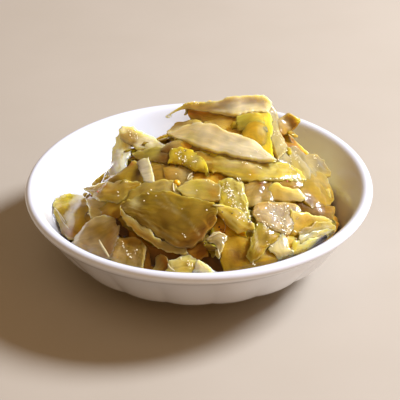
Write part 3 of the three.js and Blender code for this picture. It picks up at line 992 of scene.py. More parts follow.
# Seen from the front, from the crown down to the rim.
FRONT_PIECES: tuple[Piece, ...] = (
    Piece(
        "crown_hollow", PULP,
        (-5.6, 32.9, -1.4, 33.6, 5.6, 33.9, 14, 34.3, 21.7, 33.9, 25.2, 28.7),
        (-2.4, 27.6, 2.1, 26.6, 7.7, 24.8, 14, 22, 19.9, 19.2, 25.2, 15),
        3, proud=-0.2, cup=-0.3, tuck=0.3, shade=1.35, wet=0.2, tints=(HONEY, CORN, KHAKI, GOLD),
        # The bark and amber spots by the rib are painted shadow under it; the moss and gold ones are its
        # own colour.
        stains=(((11.5, 29), 2.8, BARK), ((13.3, 25.5), 2.8, AMBER), ((17.8, 28.3), 2.8, MOSS),
                ((19.9, 31.1), 1.8, GOLD)),
    ),
    Piece(
        "crown_rib", STEM,
        (-11.9, 29.1, -9.8, 31.1, -7, 33, -4.2, 34.3, 0, 34.6, 6.6, 35, 11.2, 36.4, 17.5, 36.8, 21.7, 37.3,
         25.2, 34.6),
        (-11.8, 28.8, -9.1, 30.2, -6.6, 31.6, -3.5, 31.6, 1, 30.8, 6.6, 30.3, 11.2, 29.9, 15.7, 30.8,
         20.3, 31.3, 23.8, 30.8),
        2.4, proud=1.1, lean=25, cup=0.3, tuck=0, shade=0.95, wet=0.35, tints=(SAND, IVORY, CREAM, CREAM),
        edge=SAND, stains=(((9.1, 33.9), 4.5, GREIGE), ((16.1, 33.9), 3.8, GREIGE)),
    ),
    Piece(
        "inner_leaf", BLADE,
        (13.3, 29, 16.1, 30.4, 19.2, 30.4, 22, 29),
        (13.3, 25.2, 16.1, 24.8, 19.2, 25.9, 22, 26.6),
        1, proud=1.5, cup=0.4, tuck=0.4, shade=0.75, wet=0.3, tints=(LIME, GOLD, MOSS, LIME),
    ),
    Piece(
        "golden_wedge", STEM,
        (14.7, 23.8, 16.8, 26.9, 19.9, 28.3, 22.8, 26.9, 24.8, 23.1, 26.6, 18.5, 27.6, 14.7),
        (15.7, 22, 18.2, 21, 20.6, 19.6, 22.8, 18.2, 24.5, 16.4, 26.2, 15, 27.1, 14),
        2.5, proud=1.9, tuck=0.3, shade=0.6, tints=(GOLD, GOLD, GOLD, LEMON), edge=CORN,
        stains=(((22, 24.8), 1.8, CORN),),
    ),
    Piece(
        "crown_arm", STEM,
        (22, 36.4, 23.4, 36.2, 24.8, 34.6, 26.9, 30.8, 27.6, 28.3, 27.6, 25.9, 28.7, 23.4, 30.1, 20.6,
         31.1, 17.8),
        (21.7, 33.6, 21.3, 30.8, 21.3, 29, 21.3, 26.6, 23.1, 24.8, 24.5, 22.4, 25.5, 19.9, 26.6, 17.5,
         27.6, 14.7),
        2.6, proud=1.5, lean=24, turn=12, shade=0.49, wet=0.9, tints=(IVORY, CREAM, CREAM, CORN),
        # The ivory spot at its top end is painted light, lifting the shade where the arm turns from the
        # lamp.
        edge=CREAM, stains=(((21.7, 34.6), 2.4, IVORY),),
    ),
    Piece(
        "back_knob", STEM,
        (26.9, 28, 28.7, 29.2, 31.1, 30.3, 33.2, 29.7, 35, 28),
        (28, 23.4, 29.4, 22.6, 31.8, 23.8, 33.9, 25.5, 35.3, 27.3),
        4, proud=0.8, cup=0.6, shade=0.58, wet=0.1, tints=(SAND, SAND, HONEY, HONEY),
    ),
    Piece(
        "slice_skin", SKIN,
        (-11.7, 24.1, -10.1, 25.5, -8.4, 27.1, -6.6, 27.8, -3.5, 28.2, 0.3, 27.8),
        (-11.4, 23.1, -9.4, 23.1, -7.3, 24.1, -5.6, 24.8, -2.8, 25.5, 0.7, 26.6),
        1.6, proud=3.4, cup=0.2, shade=1.25, wet=0.2, tints=(KHAKI, KHAKI, SAND, SAND), edge=BARK,
    ),
    Piece(
        "cream_slice", STEM,
        (-11.2, 23.4, -9.1, 24.8, -6.6, 26.1, -3.5, 27.1, 0, 27.6, 4.2, 26.9, 7.7, 25.5, 10.5, 24.1,
         15, 22.8, 18.5, 21.3, 21, 19.6, 23.1, 17.8, 25.2, 15.7, 26.9, 14),
        (-10.8, 22.9, -8.8, 22, -5.9, 21, -2.8, 19.9, -0.3, 18.5, 2.8, 17.8, 6.3, 17.1, 9.8, 16.1,
         13.3, 15.2, 17.1, 14.7, 21, 14.2, 23.8, 14, 25.9, 13.8, 26.9, 13.8),
        3, proud=3.7, lean=8, cup=0.25, tuck=0, shade=0.84, wet=0.2, tints=(SAND, IVORY, SAND, IVORY),
        edge=IVORY, stains=(((-3.5, 21.3), 2.4, STRAW),),
    ),
    Piece(
        "brown_strands", PULP,
        (-8.4, 21, -1.8, 19.6, 2.1, 18.5, 7.7, 17.5, 14, 15.4, 22.4, 14.7),
        (-7.7, 16.8, -1.8, 15.4, 3.5, 14, 8.8, 13.3, 14.7, 12.6, 22.4, 12.6),
        2.4, proud=1.8, cup=0.2, tuck=0.5, shade=2.2, wet=0.3, tints=(AMBER, AMBER, BARK, AMBER), edge=GOLD,
        stains=(((1.8, 16.8), 2.8, AMBER),),
        veins=((CORN, (-1.4, 18.5, 3.5, 17.1, 9.1, 15.7)), (GOLD, (0, 16.8, 4.9, 15.7, 11.2, 14.3))),
    ),
    # Lighter along its upper rail and dark along its lower: partly its own colour, partly a painted
    # highlight and painted shade of the roll.
    Piece(
        "dark_roll", BLADE,
        (-13.6, 17.8, -11.5, 19.4, -9.4, 20.5, -7, 21, -3.5, 19.9, 0, 18.5),
        (-13.6, 17.1, -11.9, 16.4, -10.1, 15.7, -7.7, 16.1, -4.2, 16.8, 0, 17.1),
        1.8, proud=2.3, cup=0.6, tuck=0.2, shade=0.9, wet=0.3, tints=(KHAKI, HONEY, BARK, BARK), edge=KHAKI,
    ),
    Piece(
        "long_ribbon", BLADE,
        (-5.6, 17.8, 0, 17.3, 5.6, 16.4, 11.2, 15, 17.5, 14.5, 24.5, 13.8, 29.4, 13.1, 32.9, 12.1,
         35.3, 10.3, 37.4, 7.7),
        (-4.9, 11.2, -1, 10.1, 3.1, 10.5, 7, 9.6, 10.8, 8, 15, 7, 18.9, 6.6, 25.2, 7, 32.2, 6.8, 37.4, 7),
        1.6, proud=3.1, lean=4, tuck=0, shade=0.76, wet=0.6, tints=(AMBER, CORN, OLIVE, LIME), edge=STRAW,
        stains=(((1.8, 14.7), 2.8, HONEY), ((11.2, 12.6), 2.8, SAND), ((18.2, 11.9), 2.8, SAND),
                ((25.2, 11.2), 3.1, STRAW), ((11.2, 8.8), 1.8, OLIVE), ((18.2, 8.4), 2.1, GOLD),
                ((29.7, 8.8), 2.8, LEMON)),
        veins=((STRAW, (2.1, 13.3, 7.7, 13.6, 14, 12.6)),
               (LEMON, (3.5, 10.1, 9.8, 10.1, 16.1, 8.4, 21.7, 8, 28, 8.4, 35, 8)),
               (LIME, (5.2, 11.5, 11.2, 10.8, 17.5, 9.8))),
    ),
    Piece(
        "ribbon_curl", SKIN,
        (-11.2, 14.7, -10.1, 17.7, -7.7, 18.2, -4.9, 18.2, -2.8, 17.1, -0.3, 15.4, 2.1, 13.3),
        (-11.5, 12.8, -9.4, 12.9, -7, 12.8, -4.9, 11.9, -2.8, 10.8, -0.3, 10.1, 2.8, 10.1),
        1.8, proud=3.6, cup=1.1, shade=0.76, wet=1.3, tints=(LEMON, LEMON, GOLD, LIME), edge=LEMON,
        stains=(((-1.4, 14), 2.1, KHAKI),),
    ),
    Piece(
        "ribbon_fold", PULP,
        (-5.6, 11.9, 0, 10.8, 4.5, 10.8, 8.4, 9.4, 13.3, 7.7, 20.3, 7),
        (-4.9, 5.9, 0, 5.9, 3.8, 5.6, 7.7, 5.2, 13.3, 4.5, 19.6, 4.5),
        2.2, proud=1, cup=0.1, tuck=0.5, shade=1.3, wet=0.2, tints=(HONEY, HONEY, HONEY, AMBER),
    ),
    Piece(
        "tan_chunk", SKIN,
        (-13.6, 12.2, -10.5, 13.3, -7, 12.9, -3.1, 11.2),
        (-11.5, 5.9, -9.1, 4.5, -6.3, 4.5, -3.1, 5.9),
        2.6, proud=1.8, tuck=0.3, shade=0.75, tints=(HONEY, SAND, HONEY, KHAKI), edge=SAND,
    ),
    Piece(
        "arch_leg", SKIN,
        (-27.6, 24.1, -29.4, 21.7, -30.4, 18.9, -30.8, 15.4, -31.5, 11.9, -32.9, 5.9),
        (-23.8, 21.7, -24.1, 18.5, -24.8, 16.1, -25.5, 13.6, -25.9, 10.8, -26.6, 5.9),
        1.4, proud=0.4, shade=1.1, wet=0.2, tints=(IVORY, FROST, IVORY, IVORY), edge=FROST,
        stains=(((-25.5, 18.2), 1.8, CORN),),
        veins=((FROST, (-28.7, 20.6, -29.4, 15.7, -30.4, 9.8)),
               (CORN, (-26.6, 19.9, -27.3, 14.7, -28.3, 9.8))),
    ),
    Piece(
        "arch_arm", SKIN,
        (-28.3, 24.1, -26.9, 25.9, -24.5, 25.4, -21.7, 24.3, -18.5, 23.4, -15.7, 21.9, -13.6, 19.9,
         -11.2, 19.2),
        (-28.3, 21.7, -26.2, 19.9, -24.1, 18.9, -21.3, 18, -18.5, 17.7, -15.7, 17.5, -13.3, 17.5,
         -11.2, 17.5),
        2, proud=1.2, cup=0.8, wet=0.9, tints=(CREAM, IVORY, CREAM, CREAM), edge=CREAM,
    ),
    Piece(
        "olive_tip", BLADE,
        (-24, 16.4, -21.7, 17.3, -18.9, 18, -15.7, 18.5, -12.6, 18.5, -9.8, 17.5),
        (-23.4, 15.9, -22.4, 14.7, -20.6, 14, -17.8, 13.8, -14.7, 13.3, -10.5, 12.6),
        1.2, proud=2.2, shade=0.72, wet=0.3, tints=(LIME, KHAKI, OLIVE, BARK), edge=KHAKI,
        stains=(((-12.9, 15.4), 1.8, BARK),),
    ),
    Piece(
        "pale_strip_left", STEM,
        (-22.4, 12.9, -21.3, 14, -19.6, 14.7, -17.8, 15),
        (-19.6, 6.3, -18.5, 5.9, -17.1, 5.9, -15.7, 6.3),
        1.6, proud=3, cup=0.3, tuck=0, shade=0.8, wet=0.2, tints=(GREIGE, IVORY, GREIGE, IVORY), edge=IVORY,
    ),
    Piece(
        "dark_peak", BLADE,
        (-33.9, 8, -30.8, 9.1, -27.6, 10.3, -25.2, 12.2, -23.4, 13.6, -22, 12.6, -19.6, 8),
        (-33.9, 5.9, -30.8, 5.6, -28, 5.2, -25.5, 4.9, -23.8, 4.9, -21.7, 4.9, -18.9, 5.2),
        1.6, proud=1.8, cup=0.7, shade=1.1, wet=0.3, tints=(OLIVE, OLIVE, MOSS, OLIVE), edge=KHAKI,
        stains=(((-21.7, 9.4), 1.8, UMBER), ((-24.1, 12.9), 0.9, RUSSET)),
    ),
    Piece(
        "brown_bit", PULP,
        (-18.5, 13.3, -15, 14, -11.2, 14.7, -8, 13.3),
        (-16.8, 5.6, -14, 5.6, -11.2, 5.9, -8.4, 6.6),
        2, proud=1.3, cup=0.3, tuck=0.3, shade=0.6, wet=0.2, tints=(HONEY, HONEY, HONEY, KHAKI), edge=OLIVE,
        veins=((LEMON, (-17.1, 12.6, -14.7, 12.9, -11.2, 14)),),
    ),
    Piece(
        "left_leaf", BLADE,
        (-40.9, 3.8, -38.5, 4.7, -35.3, 5.6, -32.2, 6.3, -28.7, 6.8, -25.2, 7, -20.3, 6.6),
        (-40.2, 3.5, -38.1, 2.3, -37.1, 0.3, -33.6, -0.3, -31.1, -1.2, -28, -0.3, -23.1, 2.8),
        1.2, proud=2.8, cup=0.6, wet=0.8, tints=(CREAM, HONEY, CORN, OLIVE), edge=PEAR,
        stains=(((-27.3, 3.5), 2.8, OLIVE), ((-32.9, 4.2), 2.4, HONEY), ((-36, 2.8), 0.5, BARK)),
    ),
    Piece(
        "leaf_shoulder", BLADE,
        (-35.7, -2.4, -31.5, -0.7, -28, 1.4, -25.2, 3.8, -23.4, 5.9, -19.6, 6.6),
        (-33.6, -6.6, -30.1, -7, -27.6, -4.9, -25.2, -2.8, -22.4, -1.4, -18.2, 1.8),
        1.4, proud=1.6, cup=0.3, tuck=0.4, shade=1.6, wet=0.3, tints=(OLIVE, OLIVE, BARK, OLIVE),
    ),
    # Its greyish tints copy a shaded patch: painted shade.
    Piece(
        "grey_bit", PULP,
        (-39.9, 0.3, -35.7, 1.4, -30.8, -0.3),
        (-37.8, -6.3, -34.6, -7.3, -30.1, -6.3),
        2, proud=0.9, cup=0.3, tuck=0.4, shade=1.4, wet=0.2, tints=(GREIGE, KHAKI, KHAKI, OLIVE),
    ),
    Piece(
        "left_cup", SKIN,
        (-52.1, -1, -50.8, 0.7, -48.6, 1.9, -45.5, 2.4, -42, 1.9, -39.2, 0.3, -37.4, -2.1, -35.7, -5.6),
        (-52, -2.1, -51.1, -4.9, -50, -7.7, -48.6, -10.8, -46.2, -13.6, -43.4, -13.6, -39.2, -10.8,
         -35.3, -7),
        1.5, proud=2.2, turn=38, cup=1.8, shade=1.35, wet=0.02, tints=(LIME, OLIVE, OLIVE, BARK), edge=PEAR,
        stains=(((-45.5, 0.3), 3.1, LIME), ((-40.9, -3.8), 2.8, OLIVE), ((-44.1, -2.8), 2.4, OLIVE),
                ((-45.5, -12.2), 2.4, BARK), ((-41.3, -8.4), 2.4, OLIVE)),
    ),
    Piece(
        "white_fold", SKIN,
        (-51.4, -2.1, -49.7, -2.8, -47.9, -4.5, -46.5, -7.7),
        (-51.1, -3.5, -50, -5.2, -48.6, -7.3, -46.9, -8.8),
        0.8, proud=3.2, turn=38, cup=0.6, tuck=0, shade=0.85, wet=0.1, tints=(FROST, FROST, GREIGE, GREIGE),
        edge=FROST,
    ),
    Piece(
        "pale_disc", SKIN,
        (-45.5, -15, -43.8, -12.6, -42, -10.1, -39.9, -7.5, -37.8, -5.9, -34.6, -5.2, -31.1, -5.4,
         -28.7, -7.3),
        (-44.8, -15.7, -42, -17.5, -39.2, -19.1, -36.4, -20.1, -33.9, -21, -31.5, -19.9, -29.4, -15,
         -28.2, -10.1),
        2.2, proud=2.6, cup=0.25, shade=1.15, wet=0.12, tints=(GREIGE, KHAKI, GREIGE, BARK), edge=GREIGE,
        stains=(((-35, -10.5), 3.5, OLIVE),),
    ),
    Piece(
        "ridged_chunk", PULP,
        (-30.4, -12.9, -27.6, -12.6, -24.8, -12.9, -22, -13.3, -18.9, -15.7),
        (-32.9, -19.6, -30.1, -22, -26.9, -23.6, -24.1, -24.5, -20.6, -24.8),
        3, proud=1.9, cup=0.6, shade=0.9, wet=1.3, tints=(HONEY, MOSS, SAND, KHAKI), edge=SAND,
        veins=((SAND, (-27.6, -14.3, -28.3, -18.2, -28.7, -21.7)),
               (OLIVE, (-24.8, -14.3, -25.2, -18.9, -25.5, -22.8)),
               (SAND, (-22.8, -16.1, -22.8, -19.6, -22.8, -23.8))),
    ),
    # A near-black sheet laid in a deep gap: its colour is painted shade.
    Piece(
        "burnt_tip", BLADE,
        (-29.6, -6.3, -28, -7, -25.5, -10.1),
        (-29, -11.9, -27.6, -13.3, -25.2, -12.6),
        1, proud=2.4, cup=0.2, tuck=0, wet=0.2, tints=(UMBER, UMBER, UMBER, UMBER),
    ),
    # A brown sheet laid in a gap between pieces: its colour is painted shade.
    Piece(
        "left_gap", PULP,
        (-25.9, -9.8, -21, -13.3, -16.1, -16.1, -11.2, -18.2),
        (-21.7, -24.8, -18.9, -25.5, -16.1, -25.5, -12.6, -23.1),
        2, proud=0.6, cup=0.1, tuck=0.4, wet=0.1, tints=(AMBER, BARK, BARK, BARK),
    ),
    # A dark sheet laid in a gap low in front: its colour is painted shade.
    Piece(
        "front_gap", PULP,
        (-18.2, -16.1, -14, -16.8, -9.8, -17.8, -4.9, -19.6),
        (-16.8, -23.1, -13.6, -23.8, -10.5, -23.8, -6.3, -22.4),
        2, proud=1, cup=0.1, tuck=0.2, wet=0.1, tints=(BARK, BARK, UMBER, UMBER),
    ),
    Piece(
        "slab_back", BLADE,
        (-25.9, 0.3, -23.4, 3.5, -21, 5.6, -17.5, 6.6, -13.6, 7.2, -9.4, 7),
        (-23.4, -2.8, -19.9, -1.8, -16.8, -0.7, -13.6, 0.3, -10.5, 1, -7.3, 2.8),
        1.8, proud=3, cup=0.2, tuck=0.2, shade=1.05, tints=(OLIVE, KHAKI, OLIVE, KHAKI), edge=KHAKI,
    ),
    Piece(
        "olive_slab", BLADE,
        (-27.6, -1.4, -25.5, -0.3, -23.1, 1, -20.3, 2.4, -16.8, 3.5, -12.9, 3.5, -9.1, 2.8, -4.9, 1,
         -0.3, 0.5, 3.5, -0.3, 6.3, -2.1),
        (-26.9, -4.5, -24.1, -5.9, -21, -7.7, -18.2, -10.1, -15.4, -12.2, -12.6, -14, -9.8, -15.7,
         -6.3, -16.8, -2.4, -16.4, 1.4, -12.9, 5.2, -7.7),
        3.4, proud=3.7, lean=-2, cup=0.3, shade=0.8, wet=0.12, tints=(OLIVE, OLIVE, MOSS, BARK), edge=KHAKI,
        stains=(((-22.8, -1), 1.8, PEAR), ((-9.8, -7.3), 4.5, MOSS), ((-26.6, -2.8), 1, KHAKI)),
        veins=((KHAKI, (-12.9, 2.1, -11.2, -0.3, -7.7, -4.2, -5.6, -5.6, -3.5, -7.7, -0.3, -12.2)),
               (KHAKI, (-21.3, -4.9, -16.8, -9.1, -12.6, -11.5, -7.7, -15)),
               (KHAKI, (-15.4, 0, -11.9, -2.8, -8, -4.5)), (HONEY, (1.4, -7, 3.1, -9.8))),
    ),
    Piece(
        "slab_edge", PULP,
        (-27.8, -2.1, -26.6, -4.5, -24.1, -5.9, -21, -7.7, -18.2, -10.1, -15.4, -12.2, -12.6, -14,
         -9.4, -15.7, -5.2, -16.8),
        (-28, -5.2, -26.9, -7.3, -24.8, -9.4, -22.4, -11.5, -19.6, -13.6, -16.4, -16.1, -12.9, -17.8,
         -8.8, -18.9, -4.2, -18.9),
        2.2, proud=3.1, lean=-8, cup=0.3, shade=0.9, wet=0.3, tints=(KHAKI, KHAKI, HONEY, KHAKI), edge=SAND,
    ),
    Piece(
        "seed_side_bit", STEM,
        (-8.4, 4.2, -5.6, 5.6, -3.1, 7.3, 0, 7.5, 3.5, 7, 7.3, 5.9),
        (-7.7, 3.1, -5.6, 1.8, -2.8, 0.5, 0.7, 0.2, 3.8, -0.3, 7.3, 0),
        1.8, proud=3.4, cup=0.3, tuck=0, shade=0.8, wet=0.25, tints=(STRAW, KHAKI, CORN, OLIVE), edge=SAND,
        stains=(((-1, 5.6), 1.8, LIME), ((4.5, 2.4), 2.1, HONEY)),
        veins=((LIME, (-3.5, 6.3, -1, 5.6, 1.4, 3.8, 3.5, 1)), (PEAR, (-7.3, 3.5, -4.5, 2.4, -1.4, 2.8))),
    ),
    Piece(
        "frayed_leaf", BLADE,
        (6.6, 6.8, 9.8, 7.3, 13.3, 7.7, 15.7, 5.6, 15.7, 2.4, 16.4, -1.8, 17.8, -6.6),
        (6.3, 5.6, 6.1, 2.8, 6.3, -0.3, 7.3, -2.8, 10.1, -4.5, 13.6, -5.6, 16.8, -7.3),
        1.4, proud=2.9, cup=0.6, shade=0.68, wet=1.4, tints=(STRAW, LIME, LEMON, CORN), edge=STRAW,
        veins=((LEMON, (7.3, 5.6, 7.3, 1.8, 8.4, -2.1)), (STRAW, (9.8, 6.3, 11.5, 1.8, 15, -4.2)),
               (OLIVE, (11.5, 6.6, 14, 1.4, 16.1, -4.2))),
    ),
    Piece(
        "boat_leaf", BLADE,
        (4.5, -1.6, 7.3, -1.4, 10.5, -2.1, 13.6, -3.5, 16.4, -5.6, 18.2, -7.7, 19.2, -9.8),
        (4.7, -2.1, 5.9, -4.2, 7.7, -6.6, 9.4, -9.1, 11.9, -11.2, 15, -11.5, 18.9, -10.5),
        1.6, proud=3.7, cup=0.8, shade=0.68, wet=0.35, tints=(CORN, LEMON, GOLD, HONEY), edge=STRAW,
        stains=(((7.7, -4.2), 0.5, UMBER), ((11.2, -4.5), 0.5, UMBER), ((17.5, -8.4), 0.9, BARK),
                ((11.2, -8.8), 2.1, OLIVE)),
        veins=((CREAM, (5.9, -1.8, 10.5, -2.8, 15, -5.6, 18.2, -8)),
               (PEAR, (7.3, -4.2, 10.5, -7.3, 14.3, -10.8)),
               (STRAW, (5.6, -2.1, 9.1, -4.9, 13.3, -7.7, 17.5, -10.1)),
               (LEMON, (6.3, -2.8, 9.1, -6.6, 13.3, -10.1)), (LEMON, (8.4, -2.1, 11.9, -4.5, 16.1, -7.7))),
    ),
    Piece(
        "round_bit", SKIN,
        (13.6, 2.4, 15.4, 5.2, 17.8, 7, 21, 7.5, 25.2, 7),
        (14.3, 0, 16.4, -2.1, 18.9, -2.4, 21.3, -1.8, 25.2, -0.3),
        2.2, proud=2, lean=-10, cup=0.6, tuck=0.2, shade=0.56, wet=0.9, tints=(HONEY, HONEY, CORN, SAND),
        edge=SAND, stains=(((21.3, 5.9), 0.9, RUSSET),), veins=((SAND, (15.7, 3.8, 17.5, 4.9, 19.6, 4.5)),),
    ),
    Piece(
        "ochre_bit", PULP,
        (26.2, 7.3, 30.4, 7.7, 36, 7.7),
        (27.3, 3.8, 31.1, 3.1, 36.4, 3.5),
        1.6, proud=2.2, lean=-22, turn=-10, cup=0.2, tuck=0.2, shade=0.6, tints=(GOLD, GOLD, AMBER, GOLD),
    ),
    Piece(
        "forked_bit", STEM,
        (23.4, 4.5, 25.2, 6.3, 27.3, 6.9, 29, 5.1, 31.5, 4, 34.6, 4.2, 35.7, 2.8, 37.3, 0.7),
        (23.4, 0, 25.5, -0.3, 27.6, -0.3, 29.7, -0.3, 31.8, -0.5, 33.9, -0.6, 35.7, -0.6, 37.3, 0),
        2, proud=2.9, lean=-22, turn=-10, cup=0.3, tuck=0, shade=0.85, wet=0.5,
        tints=(CORN, STRAW, HONEY, CREAM), edge=CREAM,
    ),
    Piece(
        "right_shoulder", SKIN,
        (30.8, 17.8, 32.5, 19.1, 34.6, 17.8, 37.4, 16.4, 40.9, 15.9, 43.4, 14.3, 45.5, 10.1),
        (30.8, 9.8, 34.3, 8.4, 37.1, 7, 39.9, 6.6, 42, 7, 44.1, 7.7, 45.8, 8.4),
        1.8, proud=1.8, cup=0.6, shade=0.39, wet=0.5, tints=(SAND, SAND, CREAM, CORN), edge=CREAM,
        stains=(((37.8, 11.9), 2.4, CORN), ((42.7, 12.9), 1.8, GREIGE)),
    ),
    Piece(
        "right_mass", STEM,
        (27.6, 17.1, 30.4, 18.2, 32.5, 17.1, 35, 15.4, 37.4, 13.3, 39.2, 9.8),
        (27.3, 13.6, 30.1, 12.2, 32.5, 11.2, 34.6, 9.8, 36.4, 8, 38.1, 6.3),
        2.4, proud=2.6, cup=0.6, tuck=0.2, shade=0.43, wet=0.6, tints=(CREAM, CREAM, CORN, CORN),
    ),
    Piece(
        "right_lobe", STEM,
        (35.7, 6.3, 38.1, 9.4, 40.6, 10.5, 43, 10.1, 45.1, 6.6, 46.9, 3.1, 46.9, 0.3),
        (34.6, 1.8, 36.8, -1, 38.8, -2.4, 41.3, -3.1, 43.8, -3.1, 45.8, -1.8, 46.9, 0),
        4.2, proud=2.3, cup=0.9, shade=0.43, wet=0.5, tints=(CORN, GOLD, GOLD, GOLD), edge=STRAW,
        stains=(((38.1, 0), 1.8, AMBER), ((44.8, 6.6), 1.4, CREAM)),
    ),
    Piece(
        "olive_bit", PULP,
        (33.9, -0.7, 38.1, -1.8, 42.3, -2.4, 47.2, -2.1),
        (34.6, -5.6, 38.8, -5.9, 42.3, -6.6, 46.9, -7),
        2, proud=1.3, lean=-22, turn=-12, cup=0.2, tuck=0.3, shade=0.5, tints=(AMBER, HONEY, AMBER, OLIVE),
    ),
    Piece(
        "pink_chunk", STEM,
        (18.5, -2.8, 19.9, -1.2, 23.1, -0.2, 26.6, -0.3, 30.4, -0.7, 33.9, -1.2, 35.3, -3.8),
        (18.5, -5.2, 19.9, -7.3, 22.8, -9.1, 25.9, -10.8, 29, -12.2, 32.5, -11.5, 34.3, -4.9),
        3.2, proud=3.2, cup=0.6, shade=0.68, wet=1.2, tints=(HONEY, SAND, SAND, SAND), edge=SAND,
        stains=(((27.3, -4.9), 4.2, GREIGE),),
    ),
    Piece(
        "yellow_wedge", PULP,
        (32.2, -3.1, 35.7, -4, 38.8, -4.5, 42.3, -5.8, 46.5, -7.2),
        (32.2, -11.9, 35, -12.2, 37.1, -10.8, 40.2, -9.1, 46.2, -8),
        2.2, proud=2.5, lean=-16, turn=8, cup=0.2, shade=0.68, wet=0.1, tints=(CORN, STRAW, GOLD, GOLD),
        edge=CREAM, stains=(((36.4, -8.4), 2.8, GOLD),),
    ),
    Piece(
        "fan_top", BLADE,
        (34.6, -11.2, 37.8, -9.1, 40.6, -7.5, 43.8, -7.3, 47.6, -8.8),
        (35.3, -12.9, 38.8, -12.8, 41.6, -12.4, 44.4, -12.1, 47.6, -11.2),
        0.9, proud=2.9, lean=-16, turn=8, cup=0.3, shade=0.54, wet=0.05, tints=(HONEY, CORN, STRAW, CORN),
        edge=CREAM, veins=((CREAM, (36, -11.5, 40.6, -9.8, 46.2, -9.1)),),
    ),
    Piece(
        "fan_middle", BLADE,
        (34.3, -12.9, 37.1, -11.4, 40.6, -10.7, 44.1, -10.1, 46.9, -10.5, 48.3, -11.9),
        (34.6, -15.7, 37.1, -15.7, 40.6, -14.7, 43.8, -14, 46.2, -13.8, 47.9, -13.3),
        0.9, proud=2.7, lean=-16, turn=8, cup=0.3, shade=0.7, wet=0.15, tints=(STRAW, CORN, SAND, STRAW),
        edge=IVORY,
        veins=((IVORY, (35, -13.6, 39.9, -12.2, 46.9, -11.2)),
               (CORN, (35.7, -14.7, 41.3, -13.3, 46.9, -12.6))),
    ),
    Piece(
        "fan_low", BLADE,
        (32.9, -14.3, 36.8, -14, 39.9, -13.1, 43, -12.9, 46.5, -12.9),
        (31.8, -21.7, 35.7, -22, 39.2, -21.7, 42.7, -20.3, 46.9, -17.5),
        1.2, proud=1.8, lean=-25, cup=0.3, shade=1.25, wet=0.3, tints=(CORN, SAND, HONEY, SAND), edge=CREAM,
        veins=((CREAM, (34.3, -15.7, 39.2, -14.7, 44.8, -14.3)),),
    ),
    Piece(
        "corner_mass", PULP,
        (28.3, -11.9, 31.8, -11.2, 35.7, -12.6),
        (29.4, -21.7, 33.9, -21, 38.8, -18.9),
        2.4, proud=1.5, cup=0.3, tuck=0.3, shade=1.15, wet=0.2, tints=(GOLD, GOLD, HONEY, HONEY),
        stains=(((32.9, -12.9), 1.4, LEMON),),
    ),
    Piece(
        "folded_leaf", BLADE,
        (18.9, -10.1, 20.3, -7.3, 22.8, -8, 25.9, -9.8, 29.4, -11.2),
        (16.1, -19.9, 18.2, -21.9, 20.6, -20.6, 23.4, -17.1, 27.6, -13.6),
        1.3, proud=2.9, cup=0.7, shade=0.7, wet=0.6, tints=(LIME, GOLD, OLIVE, GOLD), edge=STRAW,
        stains=(((23.4, -13.3), 2.1, OLIVE),), veins=((CREAM, (19.6, -11.2, 19.9, -14.7, 20.6, -17.5)),),
    ),
    Piece(
        "pale_strip_right", STEM,
        (29, -10.8, 26.2, -12.9, 24.1, -15, 23.8, -17.5, 26.2, -18.9, 27.6, -21.3, 29, -24.1),
        (29.7, -11.9, 30.8, -13.6, 31.1, -15.4, 32.2, -17.1, 33.2, -18.9, 34.3, -21.7, 33.9, -23.8),
        1.8, proud=2.8, tuck=0, shade=0.74, wet=0.6, tints=(CREAM, STRAW, PEAR, CREAM), edge=CREAM,
    ),
    Piece(
        "front_mass", PULP,
        (6.3, -12.6, 9.8, -12.6, 13.3, -12.6, 16.8, -12.6, 19.6, -14, 23.1, -16.8, 28.7, -18.9, 35, -19.6),
        (8.4, -27.3, 12.6, -27.3, 17.5, -26.6, 22.4, -25.9, 26.6, -25.2, 30.8, -24.1, 35, -22.8),
        2.6, proud=1.7, cup=0.4, shade=0.8, wet=0.15, tints=(GOLD, OLIVE, OLIVE, GOLD),
        stains=(((19.6, -18.9), 3.5, OLIVE), ((30.1, -21), 2.8, GOLD), ((13.3, -19.6), 3.1, BARK)),
    ),
    Piece(
        "cavity_leaf", PULP,
        (3.8, -2.8, 7.3, -4.2, 11.2, -7.7, 16.1, -11.2),
        (4.5, -12.6, 7.7, -14.3, 11.2, -15.4, 16.1, -16.1),
        2, proud=0.9, cup=0.1, tuck=0.4, shade=3.9, wet=0.1, tints=(BARK, BARK, AMBER, AMBER),
        stains=(((8, -10.5), 1, UMBER),),
    ),
    # A near-black sheet laid in a deep hollow in front: its colour is painted shade.
    Piece(
        "dark_hollow", PULP,
        (-1.4, -13.3, 3.5, -14.3, 7.3, -16.4, 11.2, -20.3),
        (-2.1, -21.7, 2.1, -23.8, 6.3, -26.9, 11.9, -27.3),
        2, proud=0.6, cup=0.1, tuck=0.2, shade=1.5, wet=0.1, tints=(UMBER, UMBER, UMBER, UMBER),
    ),
    Piece(
        "frayed_skin", SKIN,
        (2.1, -13.3, 4.2, -11.7, 6.6, -11, 9.1, -11.9, 9.8, -14, 8.4, -17.1, 6.8, -20.6),
        (2.4, -14.3, 3.8, -14.9, 4.5, -15.4, 5.1, -16.1, 5.2, -17.5, 5.2, -18.9, 6.5, -20.6),
        0.9, proud=3.2, cup=0.4, tuck=0, shade=0.66, wet=0.7, tints=(SAND, GREIGE, KHAKI, SAND), edge=CREAM,
    ),
    Piece(
        "dark_spot", BLADE,
        (1, -15.4, 2.8, -15, 4.9, -15.4, 6.3, -16.4),
        (1.4, -16.8, 3.1, -17.5, 4.9, -17.8, 5.9, -17.8),
        0.8, proud=3.4, cup=0.2, tuck=0, shade=0.7, tints=(MOSS, DRAB, UMBER, DRAB),
    ),
    Piece(
        "red_bit", PULP,
        (-5.6, -15, -2.1, -14.3, 1.4, -14.7),
        (-4.2, -20.6, -0.7, -21.3, 2.8, -19.6),
        1.8, proud=1.6, cup=0.3, tuck=0.2, wet=0.2, tints=(BARK, BARK, AMBER, BARK),
    ),
